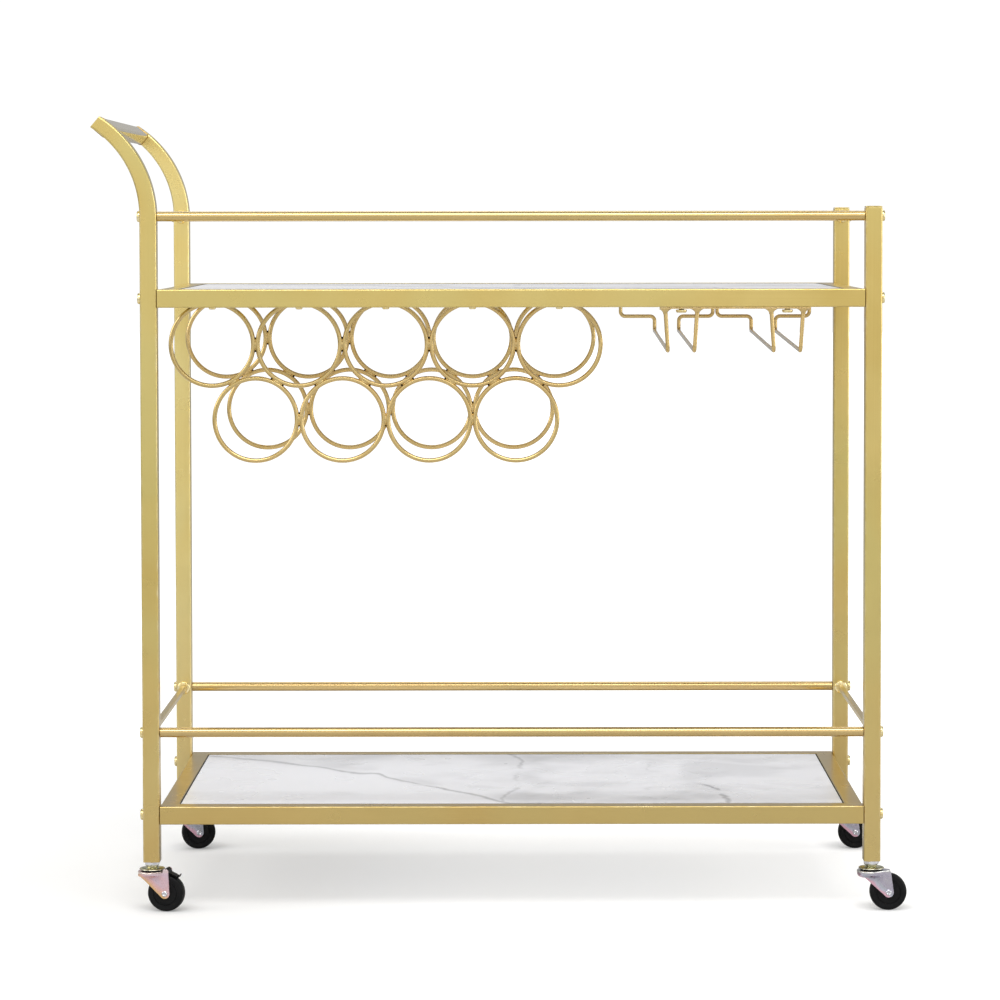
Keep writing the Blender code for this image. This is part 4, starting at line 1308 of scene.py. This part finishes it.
def wheel(corner, place, trail, axle_z):
    """A moulded wheel: crowned tread, ribbed side faces and a raised hub."""
    half, hub_half = 0.0065, 0.0070
    radius = axle_z
    side = (
        (0.0027, hub_half, 0.0),
        (0.0050, hub_half, 0.0),
        (0.0054, hub_half - 0.0003, 0.6),
        (0.0056, half - 0.0004, 0.0),
        (0.0070, half - 0.0006, 0.0),
        (0.0074, half - 0.0003, 0.4),
        (0.0124, half - 0.0003, 0.0),
        (0.0128, half - 0.0008, 0.0),
        (0.0134, half - 0.0008, 0.0),
        (0.0138, half - 0.0002, 0.5),
        (radius * 0.860, half, 0.0),
        (radius * 0.900, half - 0.0002, 0.3),
        (radius * 0.945, half - 0.0008, 0.3),
        (radius * 0.978, half - 0.0019, 0.2),
        (radius * 0.995, half - 0.0034, 0.0),
        (radius, half - 0.0052, 0.0),
    )
    profile = side + tuple((r, -z, wear_and_sheen) for r, z, wear_and_sheen in reversed(side))
    shape = Shape()
    turned(shape, profile, 88, placed((trail, 0, axle_z), QUARTER_TURN, "X"))
    ribs, rib_r = 5, 0.0100
    for face in (-1, 1):
        for turn in turns(ribs):
            turn += 0.35
            x, z = trail + rib_r * math.cos(turn), axle_z + rib_r * math.sin(turn)
            rib = placed((x, face * (half - 0.0003), z), -turn, "Y")
            rings = []
            for inset, depth in ((0.0, -0.0004), (0.0, 0.0001), (0.0002, 0.0003)):
                section = rounded_section(0.0024 - inset, 0.0006 - inset, 0.0003, 3)
                spots = [(rib @ Vector((u, face * depth, v)), wear_and_sheen) for u, v, wear_and_sheen in section]
                rings.append([shape.point(*spot) for spot in spots])
            shape.skin(rings)
    caster_piece(corner, "wheel_moulding", shape, RUBBER, place, "roller", "wheel")


def brake_lever(corner, place, trail, axle_z):
    """A moulded pedal between the fork's ears: a hub on a pin, a curved shoe and an upturned tip."""
    hub_r, hub_half = 0.0034, LEG_INNER - GAP
    shoe_in, shoe_out, shoe_half = 0.0219, 0.0229, 0.0060
    start, end = math.radians(90 - 12), math.radians(90 - 36)
    outer = arc((trail, axle_z), shoe_out, start, end, 14)
    inner = arc((trail, axle_z), shoe_in, end, start, 14)
    outward = polar(1.0, end).xy
    tip_base = Vector(outer[-1])
    tip = [
        tip_base + outward * 0.0010 + Vector((0.0002, 0)),
        tip_base + outward * 0.0023 + Vector((0.0003, 0)),
        tip_base + outward * 0.0026 + Vector((0.0008, -0.0003)),
        Vector(inner[0]) + outward * 0.0006 + Vector((0.0014, -0.0008)),
    ]
    shape = Shape()
    lofted(shape, outer + tip + inner, -shoe_half, shoe_half, 0.0004)
    barrel = arc(BRAKE_PIVOT, hub_r, math.radians(250), math.radians(30), 16)
    lofted(shape, barrel + [outer[0], outer[3], inner[-4], inner[-1]], -hub_half, hub_half, 0.0003)
    pin_half = LEG_OUTER - 0.0003
    turned(shape, (
        (0, pin_half, 0),
        (0.0011, pin_half, 0.3),
        (0.0015, pin_half - 0.0004, 0.5),
        (0.0015, -pin_half + 0.0004, 0.5),
        (0.0011, -pin_half, 0.3),
        (0, -pin_half, 0),
    ), 24, placed((BRAKE_PIVOT[0], 0, BRAKE_PIVOT[1]), QUARTER_TURN, "X"))
    caster_piece(corner, "brake_pedal", shape, LEVER_BLACK, place, "brake", "brake_lever")


def lofted(shape, outline, y_low, y_high, edge):
    """A flat outline in X and Z given depth along Y, its rims drawn in by edge towards the middle."""
    outline = [Vector(point) for point in outline]
    centre = sum(outline, Vector((0, 0))) / len(outline)
    rings = []
    for inset, y in ((edge, y_low), (0.0, y_low + edge), (0.0, y_high - edge), (edge, y_high)):
        ring = []
        for point in outline:
            spot = point + (centre - point).normalized() * inset
            wear_and_sheen = 0.3 if inset else 0.0
            ring.append(shape.point((spot.x, y, spot.y), wear_and_sheen, 0.5, (spot.x, spot.y, 0)))
        rings.append(ring)
    shape.skin(rings)


def caster(corner):
    place, trail, axle_z = caster_axes(corner)
    braked = f"{corner}_brake_lever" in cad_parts
    caster_stem(corner, place)
    caster_fork(corner, place, trail, axle_z, braked)
    axle_rivet(corner, place, trail, axle_z)
    wheel(corner, place, trail, axle_z)
    if braked:
        brake_lever(corner, place, trail, axle_z)


# ---- the cart ----
def build_cart():
    for end in ENDS:
        bent_post(f"{end}_left_post")
        straight_post(f"{end}_right_post")
        post_cap(f"{end}_right_post_cap")
    handle_bar()
    shelf("upper", UPPER_CROSS_BARS)
    shelf("lower", LOWER_CROSS_BARS)
    for level in LEVELS:
        for end in ENDS:
            round_rail(f"{level}_{end}_rail")
        for side in SIDES:
            side_rail(f"{level}_{side}_side_rail")
    for end in ENDS:
        for corner in (f"{end}_{side}" for side in SIDES):
            for level in LEVELS:
                frame_bolt(f"{corner}_{level}_rail_bolt")
                frame_bolt(f"{corner}_{level}_shelf_bolt")
        bottle_rack(f"{end}_bottle_rack")
        for number in (1, 2):
            hanger_bolt(f"{end}_hanger_bolt_{number}")
    stemware_hanger()
    for corner in CORNERS:
        caster(corner)


build_cart()


# ---- studio ----
FLOOR_MIDDLE_Y = 6.0
WORLD_FRONT_TO_BACK = ((-1.0, 1.02), (-0.6, 0.94), (0.0, 0.68), (0.45, 0.60), (1.0, 0.46))
WORLD_LOW_TO_HIGH = ((-1.0, 0.9), (0.0, 1.0), (0.35, 0.95), (0.75, 0.70), (1.0, 0.62))


def make_floor():
    """A wide pale floor. What the camera sees directly is lifted, as on a lit product table; the lift is
    lower to the left and round each wheel, which paints shadow there.
    """
    look = Look("studio_floor", Metallic=0.0, Roughness=0.9, Specular_IOR_Level=0.1)
    place = look.place()
    tone = look.span(look.noise(place, 1.5), 0.3, 0.7, 0.0, 1.0)
    look.surface(look.mix(tone, (0.66, 0.66, 0.655, 1), (0.68, 0.68, 0.675, 1)))
    x = look.node("SeparateXYZ", {0: place}).outputs["X"]
    away = look.distance(place, (0.0, CAD_HIGH.y - FLOOR_MIDDLE_Y - 0.4, 0.0))
    # Painted shadow: the lift falls towards the left, so the shade under the cart is darker on its left.
    near = look.span(x, -0.42, 0.05, 0.36, 0.59, smooth=True)
    far = look.span(away, 0.6, 1.8, 0.0, 0.42, smooth=True)
    rays = look.node("LightPath").outputs["Is Camera Ray"]
    lift = look.math("MULTIPLY", rays, look.math("ADD", near, far))
    # Painted contact shadows: the lift dips round a spot just behind each wheel.
    for corner in CORNERS:
        axle = middle(f"{corner}_wheel")
        reach = look.distance(place, (axle.x, axle.y + 0.015 - FLOOR_MIDDLE_Y, 0.0))
        lift = look.math("MULTIPLY", lift, look.span(reach, 0.008, 0.05, 0.45, 1.0, smooth=True))
    look.shader.inputs["Emission Color"].default_value = (1, 1, 0.995, 1)
    look.feed(look.shader.inputs["Emission Strength"], lift)
    shape = bmesh.new()
    bmesh.ops.create_grid(shape, x_segments=8, y_segments=8, size=14)
    mesh = bpy.data.meshes.new("floor")
    shape.to_mesh(mesh)
    shape.free()
    mesh.materials.append(look.material)
    floor = bpy.data.objects.new("floor", mesh)
    floor.location = (0, FLOOR_MIDDLE_Y, CAD_LOW.z)
    SCENE.collection.objects.link(floor)


def make_world():
    """White to the camera. In reflections the front and back are bright, the sides and top dimmer."""
    world = bpy.data.worlds.new("studio")
    SCENE.world = world
    world.use_nodes = True
    nodes = Nodes(world.node_tree)
    nodes.tree.nodes.clear()
    _, y, z = nodes.node("SeparateXYZ", {0: nodes.node("TexCoord").outputs["Generated"]}).outputs

    def levels(direction, stops):
        """Brightness by direction along an axis, from -1 to 1."""
        greys = [((position + 1) / 2, (level, level, level, 1)) for position, level in stops]
        return nodes.ramp(nodes.span(direction, -1.0, 1.0, 0.0, 1.0), greys, "EASE")

    depth = levels(y, WORLD_FRONT_TO_BACK)
    studio = nodes.math("MULTIPLY", depth, levels(z, WORLD_LOW_TO_HIGH))
    rays = nodes.node("LightPath").outputs["Is Camera Ray"]
    pick = nodes.node("Mix", {"Factor": rays, "A": studio, "B": 1.05})
    white = {"Color": (1, 1, 1, 1), "Strength": pick.outputs[0]}
    nodes.node("OutputWorld", {"Surface": nodes.node("Background", white).outputs[0]})


def soft_light(name, place, target, size, radiance):
    """A rectangular softbox of even radiance, aimed at a point."""
    data = bpy.data.lights.new(name, "AREA")
    data.shape = "RECTANGLE"
    data.size, data.size_y = size
    data.energy = radiance * math.pi * size[0] * size[1]
    light = bpy.data.objects.new(name, data)
    SCENE.collection.objects.link(light)
    aim = (Vector(target) - Vector(place)).to_track_quat("-Z", "Y")
    light.matrix_world = Matrix.Translation(place) @ aim.to_matrix().to_4x4()


def make_lights():
    centre = (0, 0, 0.45)
    soft_light("front_softbox", (0.0, -2.1, 3.0), centre, (3.0, 1.2), 4.4)
    soft_light("back_softbox", (0.0, 1.5, 3.0), centre, (2.2, 1.0), 2.0)
    soft_light("left_softbox", (-2.8, -0.6, 1.9), centre, (1.4, 1.8), 2.6)
    soft_light("right_softbox", (2.8, -0.2, 1.0), (0, 0, 0.3), (1.6, 1.6), 2.4)


make_floor()
make_world()
make_lights()
SCENE.view_settings.view_transform = "Standard"
